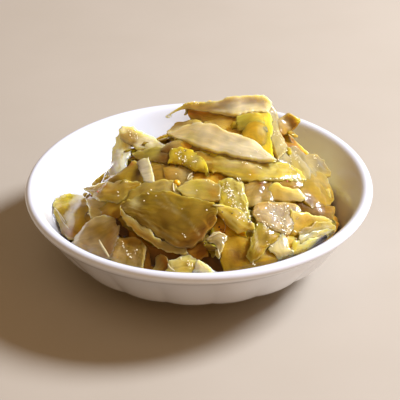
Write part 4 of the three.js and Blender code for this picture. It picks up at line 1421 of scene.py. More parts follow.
    Piece(
        "cut_chunk", STEM,
        (-1, -20.8, -1.8, -22.4, -2.6, -24.1, -3.5, -26.6),
        (0, -21, 2.4, -22.8, 4.9, -24.7, 7, -26.9),
        3.2, proud=2.8, cup=0.2, tuck=0, shade=1.05, wet=0.15, tints=(IVORY, IVORY, CREAM, IVORY),
        edge=IVORY,
    ),
    Piece(
        "sparkling_front", PULP,
        (-11.9, -22.4, -10.5, -21, -8.4, -20.3, -6.3, -19.2, -4.2, -18.9, -0.3, -21),
        (-12.2, -26.2, -9.8, -27.3, -7.7, -27.6, -5.2, -27.6, -2.8, -27.6, -0.3, -25.5),
        2.4, proud=2.2, wet=1.3, tints=(PEAR, STRAW, CORN, CORN), edge=IVORY,
        stains=(((-4.9, -22.4), 1.4, OLIVE),),
    ),
    Piece(
        "brown_upright", PULP,
        (-17.1, -24.8, -16.1, -21, -14.7, -19.1, -13.3, -18.9, -11.5, -20.3),
        (-16.4, -26.2, -14.7, -26.6, -12.9, -26.6, -11.2, -26.2, -10.5, -23.1),
        2.4, proud=1.7, wet=0.15, tints=(KHAKI, BARK, OLIVE, BARK), edge=KHAKI,
    ),
)


@dataclass(frozen=True)
class Strewing:
    """Pieces strewn in rows over one side of the heap by a seeded rule.

    Attributes:
        name: What their names start with.
        rows: Height in the picture, first and last place, and count.
        length: Least and greatest length.
        width: Least and greatest width.
        slant: Most that a piece turns from level, degrees.
        thick: Least and greatest thickness.
        proud: Least and greatest height above the heap.
        off: Most that a piece lies off its place.
        bite: Most that its outline is off.
        tilt: Most that it tips, degrees.
        cup: Least and greatest bulge.
        tuck: How far a piece reaches past its outline.
        wet: Least and greatest wetness.
        shape: Half widths from end to end.
        hues: The tints that they are drawn from.
        seed: Seed of the draws.
    """

    name: str = "strewn_piece"
    rows: tuple[tuple[float, float, float, int], ...] = (
        (5, -21, -5, 3), (-4, -28, 21, 5), (-15, -34, 30, 5), (-27, -26, 14, 3),
    )
    length: Spot = (15.0, 24.0)
    width: Spot = (7.0, 11.0)
    slant: float = 50.0
    thick: Spot = (2.5, 4.5)
    proud: Spot = (-0.6, 0.9)
    off: float = 2.0
    bite: float = 0.5
    tilt: float = 10.0
    cup: Spot = (0.2, 1.0)
    tuck: float = 0.8
    wet: Spot = (0.2, 0.9)
    shape: tuple[float, ...] = (0.35, 1.0, 0.9, 0.25)
    hues: tuple[Tint, ...] = (OLIVE, LIME, CORN, STRAW, HONEY, MOSS, CREAM)
    seed: int = 41

    def draws(self) -> Callable[[float, float], float]:
        """Repeatable draws between two values."""
        state = self.seed

        def between(low: float, high: float) -> float:
            """The next draw from low to high, by a linear congruential generator."""
            nonlocal state
            state = (state * 1664525 + 1013904223) % 4294967296
            return low + (high - low) * state / 4294967296

        return between

    def rails(self, between: Callable[[float, float], float], u: float, v: float) -> list[Rail]:
        """Draws a piece's two rails.

        Args:
            between: The draws.
            u: Place of its middle in the picture, to the right.
            v: The same upwards.

        Returns:
            The upper and the lower rail.
        """
        length, width = between(*self.length), between(*self.width)
        slant = math.radians(between(-self.slant, self.slant))
        made = []
        for side in (1, -1):
            rail = []
            for k, half in enumerate(self.shape):
                along = length * (k / (len(self.shape) - 1) - 0.5)
                across = side * half * width / 2 + between(-self.bite, self.bite)
                right = u + along * math.cos(slant) - across * math.sin(slant)
                rail += [right, v + along * math.sin(slant) + across * math.cos(slant)]
            made.append(tuple(rail))
        return made

    def pieces(self) -> list[Piece]:
        """The strewn pieces."""
        between = self.draws()
        looks = np.random.default_rng(self.seed)
        made: list[Piece] = []
        for v, start, stop, count in self.rows:
            for i in range(count):
                u = start + (stop - start) * i / (count - 1) + between(-self.off, self.off)
                upper, lower = self.rails(between, u, v + between(-self.off, self.off))
                tilt = (-self.tilt, self.tilt)
                sizes = [between(*span) for span in (self.thick, self.proud, tilt, tilt)]
                hues = looks.choice(self.hues, 4)
                piece = Piece(
                    f"{self.name}_{len(made) + 1:02d}",
                    list(Cut)[looks.integers(len(Cut))],
                    upper,
                    lower,
                    *sizes,
                    cup=between(*self.cup),
                    tuck=self.tuck,
                    tints=tuple(hues),
                    edge=STRAW,
                    wet=float(looks.uniform(*self.wet)),
                )
                made.append(piece)
        return made


# Leaves that show between the front pieces.
UNDER_LEAVES = Strewing(
    name="under_leaf",
    rows=((12, -12, 28, 6), (2, -24, 38, 9), (-8, -34, 36, 9), (-17, -28, 30, 7)),
    length=(13.0, 19.0),
    width=(7.0, 10.0),
    slant=40.0,
    thick=(1.2, 2.2),
    proud=(-1.2, 0.2),
    hues=(OLIVE, LIME, HONEY, MOSS, KHAKI, CORN, AMBER),
    seed=17,
)


def spaced(count: int, crowding: float = 0.55) -> Array:
    """Shares from 0 to 1, crowded towards both ends."""
    share = np.linspace(0.0, 1.0, count + 1)
    return share - crowding * np.sin(2 * np.pi * share) / (2 * np.pi)


def grid_faces(numbers: Array) -> Array:
    """Quads over a grid of vertex numbers."""
    corners = (numbers[:-1, :-1], numbers[1:, :-1], numbers[1:, 1:], numbers[:-1, 1:])
    return np.stack([c.ravel() for c in corners], axis=1)


def outward(points: Array, quads: Array) -> Array:
    """Turns a closed shape's quads round where they face inwards."""
    a, b, c, d = (points[quads[:, k]] for k in range(4))
    volume = np.einsum("ij,ij->i", a, np.cross(b, c)) + np.einsum("ij,ij->i", a, np.cross(c, d))
    return quads if volume.sum() > 0 else quads[:, ::-1]


@dataclass(frozen=True)
class Slab:
    """A piece's places, in a grid along and across it.

    Attributes:
        seed: Seed of its unevenness.
        s: Shares along it.
        t: Shares across it.
        local: Width at each share along it, with what is tucked under.
        place: Places in the picture.
        lay: Places along and across it, mm.
        from_side: Distance from its long edges.
        from_end: Distance from its ends.
        middle: Its middle in the picture.
    """

    seed: int
    s: Array
    t: Array
    local: Array
    place: Array
    lay: Array
    from_side: Array
    from_end: Array
    middle: Array


@dataclass(frozen=True)
class Colouring:
    """How a piece's colour varies; lengths in mm.

    Attributes:
        drift: Length and strength of the waves that mix the corners' tints.
        stain: Strength of a spot in its middle, the same for real marks and for painted light and shade.
        vein: Half width and strength of a vein.
        vein_points: Points along a vein.
        streak: Length, stretch along the piece and strength of the streaks.
        patch: Length and strength of the patches.
        edge: Width and strength of the tint along its rims: partly the cut tissue's own colour, partly
            painted glow of light through them.
        end_edge: How much thinner that tint is at the ends.
        brightest: Most light that a part sends back.
    """

    drift: Spot = (11.0, 0.10)
    stain: float = 0.85
    vein: Spot = (0.4, 0.7)
    vein_points: int = 60
    streak: Spot3 = (1.4, 0.12, 0.06)
    patch: Spot = (5.0, 0.07)
    edge: Spot = (0.6, 0.4)
    end_edge: float = 0.3
    brightest: float = 0.95

    def colours(self, piece: Piece, slab: Slab) -> Array:
        """Colours a piece from rail to rail and end to end, with streaks, and a rim tint that is partly its
        own colour and partly painted glow of light.

        Args:
            piece: The piece.
            slab: Its outline and the places on it.

        Returns:
            A linear colour for each point.
        """

        def blend(colour: Array, tint: Tint, off: Array, wide: float, most: float) -> Array:
            """Blends a tint in, strongest where the distance from it is 0."""
            share = most * np.exp(-((off / wide) ** 2))[..., None]
            return colour * (1 - share) + tint.rgb * share

        lay, place = slab.lay, slab.place
        corners = [tint.rgb for tint in piece.tints]
        drift = self.drift[1] * Ripple(self.drift[0], slab.seed + 5).at(lay)
        along = np.clip(slab.s[:, None] + drift, 0, 1)[..., None]
        down = np.clip(slab.t[None, :] + drift, 0, 1)[..., None]
        upper = corners[0] * (1 - along) + corners[1] * along
        lower = corners[2] * (1 - along) + corners[3] * along
        colour = upper * (1 - down) + lower * down
        for spot, wide, tint in piece.stains:
            off = np.linalg.norm(place - np.array(spot), axis=-1)
            colour = blend(colour, tint, off, wide, self.stain)
        for tint, run in piece.veins:
            line = evenly(cut_corners(spots_of(run)), np.linspace(0, 1, self.vein_points))
            off = np.linalg.norm(place[:, :, None] - line, axis=-1).min(axis=-1)
            colour = blend(colour, tint, off, *self.vein)
        length, stretch, strength = self.streak
        streak = strength * Ripple(length, slab.seed + 6).at(lay * np.array([stretch, 1.0]))
        patch = self.patch[1] * Ripple(self.patch[0], slab.seed + 7).at(lay)
        colour = colour * (1 + streak + patch)[..., None]
        # Rim tint: partly the cut tissue's own colour, partly painted glow of light through thin tissue.
        if piece.edge is not None:
            near = np.minimum(slab.from_side, slab.from_end + self.end_edge)
            colour = blend(colour, piece.edge, near, *self.edge)
        return np.clip(colour * piece.shade, 0.0, self.brightest)


@dataclass(frozen=True)
class Shaping:
    """How a piece becomes an uneven slab with rounded edges; lengths in mm.

    Attributes:
        cell: Size of the facets.
        rows: Least and greatest number of facets along it.
        columns: The same across it.
        slim: Least width that it is tucked sideways by.
        end_power: Higher, and only its very ends are tucked lengthwise.
        waves: Wavelength and strength of the waves in its outline.
        nicks: The same of the nicks in its border.
        border: Width of that border.
        calm: Width under which the waves get weaker, and their least share.
        slope_step: How far either side of its middle it takes the heap's slope.
        slope_limit: Steepest slope that it takes.
        drape: How far it bends from flat to follow the heap.
        steadied: Share of the whole piece's direction in each point's own.
        lumps: Length and share of its slow bends.
        folds: Length of its folds, and their stretch along it.
        fold_wet: Strength of the folds when dry, and what full wetness adds.
        grain: Length of its small bumps.
        grain_wet: Their strength when dry, and what full wetness adds.
        wander: Length and height of the waves in its ribs.
        taper: Share of its thickness that is left where it is narrowest.
        sunk: Depth of its middle layer at its edges and what is added inside, over its thickness.
    """

    cell: float = 0.5
    rows: tuple[int, int] = (16, 120)
    columns: tuple[int, int] = (10, 60)
    slim: float = 1.5
    end_power: int = 5
    waves: tuple[Spot, ...] = ((6.0, 1.0), (2.2, 0.6))
    nicks: Spot = (1.4, 0.25)
    border: float = 0.7
    calm: Spot = (4.0, 0.2)
    slope_step: float = 5.0
    slope_limit: float = 1.3
    drape: float = 6.0
    steadied: float = 0.25
    lumps: Spot = (9.0, 0.8)
    folds: Spot = (3.2, 0.55)
    fold_wet: Spot = (0.3, 0.9)
    grain: float = 1.7
    grain_wet: Spot = (0.2, 1.6)
    wander: Spot = (14.0, 0.8)
    taper: float = 0.3
    sunk: Spot = (0.15, 0.35)

    def slab(self, piece: Piece, seed: int) -> Slab:
        """Lays a piece out in the picture, with its uneven outline."""
        rails = [cut_corners(spots_of(rail)) for rail in (piece.up, piece.low)]
        middles = [evenly(rail, np.array([0.5]))[0] for rail in rails]
        length = max(run_length(rail) for rail in rails)
        width = float(np.linalg.norm(middles[0] - middles[1]))
        s = spaced(int(np.clip(round(length / self.cell), *self.rows)))
        t = spaced(int(np.clip(round(width / self.cell), *self.columns)))
        upper, lower = (evenly(rail, s) for rail in rails)
        local = np.linalg.norm(upper - lower, axis=1)[:, None]
        aside = piece.tuck * ((upper - lower) / np.maximum(local, self.slim))
        ahead = unit(np.gradient((upper + lower) / 2, axis=0))
        stretch = piece.tuck * ((2 * s - 1) ** self.end_power)[:, None] * ahead
        upper, lower = upper + aside + stretch, lower - aside + stretch
        local = local + 2 * piece.tuck
        place = upper[:, None] * (1 - t)[None, :, None] + lower[:, None] * t[None, :, None]
        from_side = np.minimum(t, 1 - t)[None, :] * local
        from_end = np.minimum(s, 1 - s)[:, None] * length
        border = np.exp(-((np.minimum(from_side, from_end) / self.border) ** 2))[..., None]
        steady = np.clip(local / self.calm[0], self.calm[1], 1)[..., None]
        for scale, share in (*self.waves, (self.nicks[0], self.nicks[1] * border)):
            warp = [Ripple(scale, seed + 7 * k + int(scale)).at(place) for k in range(2)]
            place = place + piece.cut.value.ragged * share * steady * np.stack(warp, axis=-1)
        lay = np.stack(np.broadcast_arrays(s[:, None] * length, t[None, :] * width), axis=-1)
        return Slab(seed, s, t, local, place, lay, from_side, from_end, sum(middles) / 2)

    def skin(self, ground: Ground, piece: Piece, slab: Slab) -> tuple[Array, Array]:
        """Drapes a piece on the heap.

        Args:
            ground: What it lies on.
            piece: The piece.
            slab: Its places.

        Returns:
            The points of its outer face and the directions that they face.
        """

        def slope(step: Array) -> float:
            """Slope of the heap along one direction of the picture."""
            rise = float(ground.at(slab.middle + step) - ground.at(slab.middle - step))
            rise /= 2 * self.slope_step
            return min(max(rise, -self.slope_limit), self.slope_limit)

        off = slab.place - slab.middle
        slopes = np.array([slope(step) for step in np.eye(2) * self.slope_step])
        tips = np.tan(np.radians([piece.turn, piece.lean]))
        bulge = piece.cup * (4 * slab.t * (1 - slab.t) - 0.5)
        plane = float(ground.at(slab.middle)) + off @ slopes
        bend = self.drape * np.tanh((ground.at(slab.place) - plane) / self.drape)
        points = ground.sight.point(slab.place, plane + bend - off @ tips + piece.proud + bulge)
        along, across = np.gradient(points, axis=0), np.gradient(points, axis=1)
        mean = np.cross(along.mean(axis=(0, 1)), across.mean(axis=(0, 1)))
        mean *= np.sign(mean @ ground.sight.axes[2]) / np.linalg.norm(mean)
        normal = np.cross(along, across)
        normal *= np.sign(normal @ mean)[..., None]
        return points, unit(unit(normal) + self.steadied * mean)

    def relief(self, piece: Piece, slab: Slab) -> Array:
        """Folds, small bumps and ribs of a piece's face."""
        tissue, lay, seed = piece.cut.value, slab.lay, slab.seed
        length, stretch = self.folds
        folds = tissue.wrinkle * Ripple(length, seed + 2).at(lay * np.array([stretch, 1.0]))
        bumps = Ripple(self.grain, seed + 3).at(lay)
        wander = self.wander[1] * Ripple(self.wander[0], seed + 4).at(lay)
        ribs = np.cos(2 * np.pi * (lay[..., 1] + wander) / tissue.rib_gap)
        fold_wet, grain_wet = (dry + wet * piece.wet for dry, wet in (self.fold_wet, self.grain_wet))
        return folds * fold_wet + tissue.grain * grain_wet * bumps + tissue.rib * ribs

    def mesh(
        self, ground: Ground, piece: Piece, slab: Slab
    ) -> tuple[Array, Array, Callable[[Array], Array]]:
        """Works out a piece's mesh.

        Args:
            ground: What it lies on.
            piece: The piece.
            slab: Its places.

        Returns:
            Its points, its quads, and what turns values on the grid into one for each point.
        """
        tissue = piece.cut.value
        skin, normal = self.skin(ground, piece, slab)
        sides = (np.clip(off / tissue.rounding, 0, 1) for off in (slab.from_side, slab.from_end))
        body = math.prod(np.sqrt(1 - (1 - inset) ** 2) for inset in sides)
        lumps = tissue.lump * Ripple(self.lumps[0], slab.seed + 1).at(skin)
        thick = piece.thick * np.minimum(1, self.taper + slab.local / (2 * piece.thick))
        half = thick / 2
        sunk = thick * (self.sunk[0] + self.sunk[1] * body)
        centre = skin - normal * sunk[..., None] + normal * lumps[..., None] * self.lumps[1]
        folds = self.relief(piece, slab)
        face = centre + normal * (half * body + folds * body)[..., None]
        rear = centre - normal * (half * body)[..., None]
        rows, columns = body.shape
        front_numbers = np.arange(body.size).reshape(rows, columns)
        rear_numbers = front_numbers.copy()
        inner = np.arange((rows - 2) * (columns - 2)).reshape(rows - 2, columns - 2)
        rear_numbers[1:-1, 1:-1] = body.size + inner

        def both(front: Array, back: Array | None = None) -> Array:
            """Lists the face's values, then those of the rear without the shared rim."""
            inside = (front if back is None else back)[1:-1, 1:-1]
            return np.vstack([part.reshape(-1, part.shape[-1]) for part in (front, inside)])

        points = ground.heap.fit(both(face, rear))
        quads = np.vstack([grid_faces(front_numbers), grid_faces(rear_numbers)[:, ::-1]])
        return points, outward(points, quads), both


@dataclass(frozen=True)
class Core:
    """The lumpy core under the pieces, coloured dark as painted shade so that the gaps between them look
    deep.

    Attributes:
        rings: Rings of points.
        spokes: Points on a ring.
        sink: Depth under the pieces' outer faces.
        lumps: Wavelength, height and seed of the lumps.
        middle: Where its middle lies, along X.
        side_from: How far to either side of that it starts to lie deeper.
        side_width: Width over which it gets deeper.
        side_sink: How much deeper it lies there.
        bottom: Height of its underside.
        least_top: Least height of its upper side.
    """

    rings: int = 64
    spokes: int = 180
    sink: float = 2.5
    lumps: tuple[tuple[float, float, int], ...] = ((9.0, 0.6, 71), (4.0, 0.35, 72))
    middle: float = 4.0
    side_from: float = 31.0
    side_width: float = 8.0
    side_sink: float = 5.0
    bottom: float = 4.0
    least_top: float = 6.8

    def build(self, heap: Heap) -> tuple[Array, Array]:
        """Works out the core's points and quads in the form of a heap."""
        radius = heap.lip * np.linspace(0, 1, self.rings + 1)[1:, None]
        spoke = np.arange(self.spokes) * 2 * np.pi / self.spokes
        ring = np.stack([radius * np.cos(spoke), radius * np.sin(spoke)], axis=-1)
        places = np.vstack([[[0.0, 0.0]], ring.reshape(-1, 2)])
        lumps = sum(high * Ripple(length, seed).at(places) for length, high, seed in self.lumps)
        off = np.abs(places[:, 0] - self.middle) - self.side_from
        side = np.clip(off / self.side_width, 0, 1)
        top = heap.height(*places.T) - self.sink - self.side_sink * side + lumps
        heights = (np.maximum(top, self.least_top), np.full(len(places), self.bottom))
        points = heap.fit(np.vstack([np.column_stack([places, high]) for high in heights]))
        numbers = 1 + np.arange(self.rings * self.spokes).reshape(self.rings, -1)
        numbers = np.column_stack([numbers, numbers[:, :1]])
        hub = np.zeros((1, self.spokes + 1), dtype=int)
        sheet = grid_faces(np.vstack([hub, numbers]))
        rim = grid_faces(np.vstack([numbers[-1], numbers[-1] + len(places)]))
        quads = np.vstack([sheet, rim, sheet[:, ::-1] + len(places)])
        return points, outward(points, quads)


@dataclass(frozen=True)
class Shreds:
    """Small torn shreds, strewn over the core by a geometry tree.

    Attributes:
        density: How many lie on each square metre.
        size: Least and greatest size, over that of the shape.
        seed: Seed of the strewing.
        slant: Most that a shred turns about its own X and Y, radians.
        upward: Least Z of the direction that a face with shreds looks in.
        length: Length of the shape.
        half_width: Half its width.
        tip: Share of a half wave that each pointed end leaves out.
        blunt: Lower, and the ends are blunter.
        waist: Height and frequency of the waves in its sides.
        curl: How far it bends along, and as far across.
        half_thick: Half its thickness.
        points: Points along and across it.
    """

    density: float = 14000.0
    size: Spot = (0.55, 1.25)
    seed: int = 5
    slant: float = 0.35
    upward: float = 0.15
    length: float = 10.0
    half_width: float = 2.2
    tip: float = 0.08
    blunt: float = 0.6
    waist: Spot = (0.18, 9.0)
    curl: float = 0.5
    half_thick: float = 0.2
    points: tuple[int, int] = (9, 4)

    def shape(self) -> Thing:
        """A short curled strip that the shreds are copies of."""
        s, t = (np.linspace(0, 1, count) for count in self.points)
        round_end = np.sin(np.pi * (self.tip + (1 - 2 * self.tip) * s)) ** self.blunt
        half = self.half_width * round_end * (1 + self.waist[0] * np.sin(self.waist[1] * s))
        x = np.broadcast_to((s[:, None] - 0.5) * self.length, self.points)
        y = (t[None, :] - 0.5) * 2 * half[:, None]
        z = self.curl * np.sin(np.pi * s)[:, None] - self.curl * (2 * t[None, :] - 1) ** 2
        sides = [np.stack([x, y, z + off], axis=-1) for off in (self.half_thick, -self.half_thick)]
        points = np.vstack([side.reshape(-1, 3) for side in sides])
        numbers = np.arange(x.size).reshape(self.points)
        rim = np.concatenate([numbers[0], numbers[1:, -1], numbers[-1, -2::-1], numbers[-2::-1, 0]])
        sheet = grid_faces(numbers)
        band = grid_faces(np.vstack([rim + x.size, rim]))
        quads = np.vstack([sheet, sheet[:, ::-1] + x.size, band])
        return mesh_object("shred_shape", points, outward(points, quads))

    def tree(self) -> Tree:
        """Geometry tree that strews copies of a shape over the upper side of a surface."""
        kinds = {"Surface": "Geometry", "Shape": "Object", "Density": "Float", "Least size": "Float"}
        kinds |= {"Greatest size": "Float", "Seed": "Int", "Finish": "Material"}
        tree, given = new_tree("strewn_shreds", kinds)
        facing = add_node(tree, "GeometryNodeInputNormal").outputs["Normal"]
        up = add_node(tree, "ShaderNodeSeparateXYZ", links={0: facing}).outputs["Z"]
        links = {"A": up, "B": self.upward}
        open_side = add_node(tree, "FunctionNodeCompare", {"operation": "GREATER_THAN"}, links)
        links = {"Mesh": given["Surface"], "Selection": open_side.outputs["Result"]}
        links |= {name: given[name] for name in ("Density", "Seed")}
        laid = add_node(tree, "GeometryNodeDistributePointsOnFaces", links=links).outputs
        most = (self.slant, self.slant, math.pi)
        links = {"Min": tuple(-turn for turn in most), "Max": most, "Seed": given["Seed"]}
        spin = add_node(tree, "FunctionNodeRandomValue", {"data_type": "FLOAT_VECTOR"}, links)
        links = {"Rotation": laid["Rotation"], "Rotate By": spin.outputs["Value"]}
        turned = add_node(tree, "FunctionNodeRotateRotation", {"rotation_space": "LOCAL"}, links)
        links = {2: given["Least size"], 3: given["Greatest size"], "Seed": given["Seed"]}
        size = add_node(tree, "FunctionNodeRandomValue", {"data_type": "FLOAT"}, links)
        turn, scale = turned.outputs["Rotation"], size.outputs[1]
        strewn = copies(tree, laid["Points"], given["Shape"], turn, scale)
        return end_tree(tree, strewn, given["Finish"])

    def build(self, core: Thing, heap: Heap, finish: bpy.types.Material) -> Thing:
        """Strews shreds over the core, where they show between the pieces.

        Args:
            core: The core.
            heap: The heap, whose room they keep to.
            finish: The shreds' material.

        Returns:
            All shreds as one piece.
        """
        shape = self.shape()
        shreds = in_scene(bpy.data.objects.new("shreds", core.data.copy()))
        values = {"Shape": shape, "Density": self.density, "Seed": self.seed, "Finish": finish}
        values |= dict(zip(("Least size", "Greatest size"), self.size))
        run_tree(shreds, self.tree(), values)
        bpy.data.objects.remove(shape)
        places = np.empty(len(shreds.data.vertices) * 3, dtype=np.float32)
        shreds.data.vertices.foreach_get("co", places)
        fitted = heap.fit(places.reshape(-1, 3).astype(float) / MM) * MM
        shreds.data.vertices.foreach_set("co", fitted.astype(np.float32).ravel())
        return settle(shreds, GREENS_NODE)


@dataclass
class Greens:
    """The heap: a core darkened with painted shade, the pieces that lie on it and the shreds between them.

    Attributes:
        heap: Its form and room.
        front: The view that the front pieces are laid out in.
        back: The view that the strewn pieces are laid out in.
        shaping: How the pieces get their form.
        colouring: How they get their colours.
        surfaces: Points and quads of what has been built, for things to land on.
    """

    heap: Heap = field(default_factory=Heap)
    front: Sight = field(default_factory=lambda: Sight(0, 31.1, 0.76))
    back: Sight = field(default_factory=lambda: Sight(180, 45))
    shaping: Shaping = field(default_factory=Shaping)
    colouring: Colouring = field(default_factory=Colouring)
    surfaces: list[tuple[Array, Array]] = field(default_factory=list)

    def lay_piece(
        self, ground: Ground, piece: Piece, seed: int, finish: bpy.types.Material
    ) -> Thing:
        """Builds one piece, dresses it and lets later things land on it.

        Args:
            ground: What it lies on.
            piece: The piece.
            seed: Seed of its unevenness.
            finish: Its material.

        Returns:
            The piece.
        """
        slab = self.shaping.slab(piece, seed)
        points, quads, both = self.shaping.mesh(ground, piece, slab)
        made = mesh_object(piece.name, points, quads)
        set_tint(made.data, both(self.colouring.colours(piece, slab)), piece.wet)
        set_lay(made.data, both(slab.lay))
        made.data.materials.append(finish)
        self.surfaces.append((points, quads))
        return settle(made, GREENS_NODE)

    def lay_core(self, finish: bpy.types.Material) -> Thing:
        """Builds and dresses the core."""
        points, quads = Core().build(self.heap)
        core = mesh_object("core_of_leaf", points, quads)
        core.data.validate()
        core.data.materials.append(finish)
        self.surfaces.append((points, quads))
        return settle(core, GREENS_NODE)

    def build(self) -> None:
        """Makes the core, the pieces and the shreds, and dresses them."""
        # The core's dark ramp is painted shade for the gaps between the pieces.
        soaked = PickleFinish("brine_soaked_core", rough=0.45, ramp=(BARK, AMBER, MOSS))
        torn = PickleFinish("torn_leaf_shreds", ramp=(AMBER, OLIVE, HONEY, CORN))
        finishes = {
            STEM: PickleFinish("pickled_stem_flesh", depth=5.0, fibre_relief=0.02),
            BLADE: PickleFinish("pickled_leaf_blade", fibre_gap=1.1),
            SKIN: PickleFinish("peeled_stem_skin", rough=0.32),
            PULP: PickleFinish("soft_stem_pulp", fibre_gap=0.7, pore_relief=0.04),
        }
        dressed = {cut: finish.material() for cut, finish in finishes.items()}
        core = self.lay_core(soaked.material())
        Shreds().build(core, self.heap, torn.material())
        facing, behind = Ground(self.heap, self.front), Ground(self.heap, self.back)
        heaps = (
            (facing, FRONT_PIECES, 100),
            (behind, Strewing().pieces(), 900),
            (facing, UNDER_LEAVES.pieces(), 2000),
        )
        for ground, pieces, seed in heaps:
            for number, piece in enumerate(pieces):
                self.lay_piece(ground, piece, seed + 10 * number, dressed[piece.cut])


# ---- small things on the greens ----


@dataclass(frozen=True)
class Sprinkle:
    """Small beads of one stuff that lie on the greens.

    Attributes:
        name: Their name.
        finish: Their finish.
        runs: Start and end of each run in the picture, its width, and how many lie in it.
        size: Least and greatest width of a bead.
        flat: Height over width.
        up: Share of its lie that the light's side takes over from the surface under it.
        lift: How far its middle lies over the surface, over its height.
        seed: Seed of the places.
    """

    name: str
    finish: PlainFinish
    runs: tuple[tuple[Spot, Spot, float, int], ...]
    size: Spot
    flat: float = 0.5
    up: float = 0.5
    lift: float = 0.15
    seed: int = 3

    def spots(self) -> Array:
        """Places of the beads in the picture."""
        rng = np.random.default_rng(self.seed)
        made = []
        for start, stop, width, count in self.runs:
            along = rng.uniform(0, 1, count)[:, None] if count > 1 else np.array([[0.5]])
            line = np.array(start) * (1 - along) + np.array(stop) * along
            made.append(line + rng.normal(size=(count, 2)) * width / 2)
        return np.vstack(made)


@dataclass(frozen=True)
class Strand:
    """A thin fibre or stalk that lies on the greens.

    Attributes:
        run: Its line in the picture.
        thick: Its thickness.
        lift: How far its middle lies over the greens.
    """

    run: Rail
    thick: float
    lift: float = 0.2


# Where the drops of brine lie, from the crown's arm down to the rim and to the far sides; their gloss
# sparkles under the lamp, and their pale colour is a painted highlight.
DROP_RUNS = (
    ((22.8, 32.9), (24.5, 30.4), 1.1, 8), ((26.2, 24.5), (28.3, 21), 1.4, 12),
    ((29, 21), (29, 19.2), 0.8, 3), ((29.4, 17.5), (33.9, 14.3), 1.7, 22),
    ((39.5, 15.7), (41.3, 14.7), 0.8, 5), ((19.2, 17.8), (20.6, 17.1), 0.8, 5),
    ((22.8, 16.4), (23.4, 16.1), 0.6, 3), ((14, 16.4), (14, 16.4), 0, 1),
    ((16.8, 15.7), (18.2, 15.4), 0.6, 2), ((-8.8, 17.5), (-3.5, 13.3), 2.2, 26),
    ((-2.1, 13.6), (-1.4, 13.3), 0.4, 3), ((20.3, 11.5), (21.3, 10.8), 0.7, 5),
    ((15, 13.3), (16.1, 12.6), 0.6, 3), ((17.1, 8.8), (17.5, 9.1), 0.3, 2),
    ((24.8, 7.5), (29.4, 7.5), 0.3, 9), ((31.5, 11.5), (32.9, 10.1), 0.9, 9),
    ((7.7, 4.9), (16.4, -6.3), 2, 60), ((8.8, 6.3), (10.5, 1.4), 2.2, 16),
    ((12.6, 7.7), (15.4, 5.6), 1.1, 10), ((12.6, -5.6), (15.4, -7.3), 0.8, 8),
    ((24.5, -0.3), (26.6, -6.6), 1.4, 22), ((27.6, -1.8), (30.8, -3.5), 1.4, 10),
    ((28, -6.3), (30.8, -11.2), 1.4, 24), ((21, -7.7), (26.2, -10.1), 1.4, 16),
    ((32.9, -10.5), (33.9, -11.5), 0.4, 4), ((23.8, -14.7), (25.2, -16.8), 0.7, 7),
    ((30.1, -15), (32.2, -17.5), 0.7, 8), ((35.7, -18.4), (35.7, -18.4), 0, 1),
    ((41.3, -11.5), (41.6, -11.9), 0.3, 2), ((18.2, -22.4), (19.6, -22.4), 0.6, 3),
    ((-28.7, -15), (-28.7, -15), 0, 1), ((-26.9, -15), (-26.6, -17.1), 0.6, 6),
    ((-25.5, -17.5), (-24.8, -20.3), 0.9, 12), ((-22.8, -17.1), (-22.4, -18.9), 0.6, 4),
    ((-7, -20.3), (-6.3, -20.6), 0.6, 3), ((-5.2, -21.7), (-2.1, -23.1), 1.1, 11),
    ((9.1, -12.6), (8.8, -14.7), 0.4, 5), ((-24.5, 24.5), (-22.4, 21.7), 1.4, 12),
    ((-26.2, 6.3), (-25.2, 6.3), 0.4, 3), ((-18.5, 2.4), (-17.8, 2.1), 0.3, 3),
    ((-17.1, 3.5), (-17.1, 3.5), 0, 1), ((-15.4, 1.4), (-15.4, 1.4), 0, 1),
    ((-19.6, -0.3), (-19.6, -0.3), 0, 1), ((-6.3, -3.1), (-6.3, -3.1), 0, 1),
    ((2.1, -3.1), (2.4, -3.5), 0.2, 2), ((-6.6, -10.8), (-5.2, -13.3), 0.3, 4),
    ((4.5, -10.1), (4.5, -10.1), 0, 1), ((-8.4, 9.1), (-8.4, 9.1), 0, 1),
    ((-39.2, -4.5), (-38.5, -5.6), 0.3, 3), ((-29, 2.8), (-28.3, 1), 0.4, 4),
    ((-4.9, 33.9), (0.7, 33.9), 0.8, 9), ((-6.6, 31.8), (-5.9, 31.8), 0.3, 2),
    ((-1.4, 3.5), (-1, 3.1), 0.2, 1), ((2.1, 7), (4.9, 5.6), 1.1, 3), ((41.6, 14), (41.3, 11.2), 0.4, 3),
)
SPRINKLES = (
    Sprinkle(
        "brine_drops",
        # The drops' pale cream colour is a painted highlight over their real gloss.
        PlainFinish("cloudy_brine", "#e6d8a0", "#fbf2d0", rough=0.05, coat=1.0),
        DROP_RUNS,
        (0.25, 0.6),
    ),
    Sprinkle(
        "mustard_seed",
        PlainFinish("mustard_seed_husk", "#d89408", "#eeb810", grain=0.6, coat=0.7),
        (((-8.2, 5.7), (-8.2, 5.7), 0.0, 1),),
        (2.5, 2.5),
        flat=0.85,
    ),
    Sprinkle(
        "chili_flakes",
        PlainFinish("red_chili_skin", "#b04410", "#c8601c", grain=0.5, coat=0.7),
        (((30.5, 6.7), (30.5, 6.7), 0.0, 1), ((-35.7, 2.9), (-35.7, 2.9), 0.0, 1)),
        (0.8, 0.9),
        flat=0.3,
    ),
    Sprinkle(
        "leaf_specks",
        PlainFinish("dried_leaf_speck", "#3c2408", "#56380e", grain=0.5, coat=0.5),
        (
            ((7.8, -4.2), (7.8, -4.2), 0.0, 1), ((11.3, -4.7), (11.3, -4.7), 0.0, 1),
            ((17.0, -6.6), (18.0, -8.6), 0.2, 3), ((17.8, -2.8), (18.1, -3.9), 0.1, 2),
            ((6.8, -9.6), (8.2, -11.4), 0.4, 3),
        ),
        (0.5, 0.75),
        flat=0.3,
    ),
)
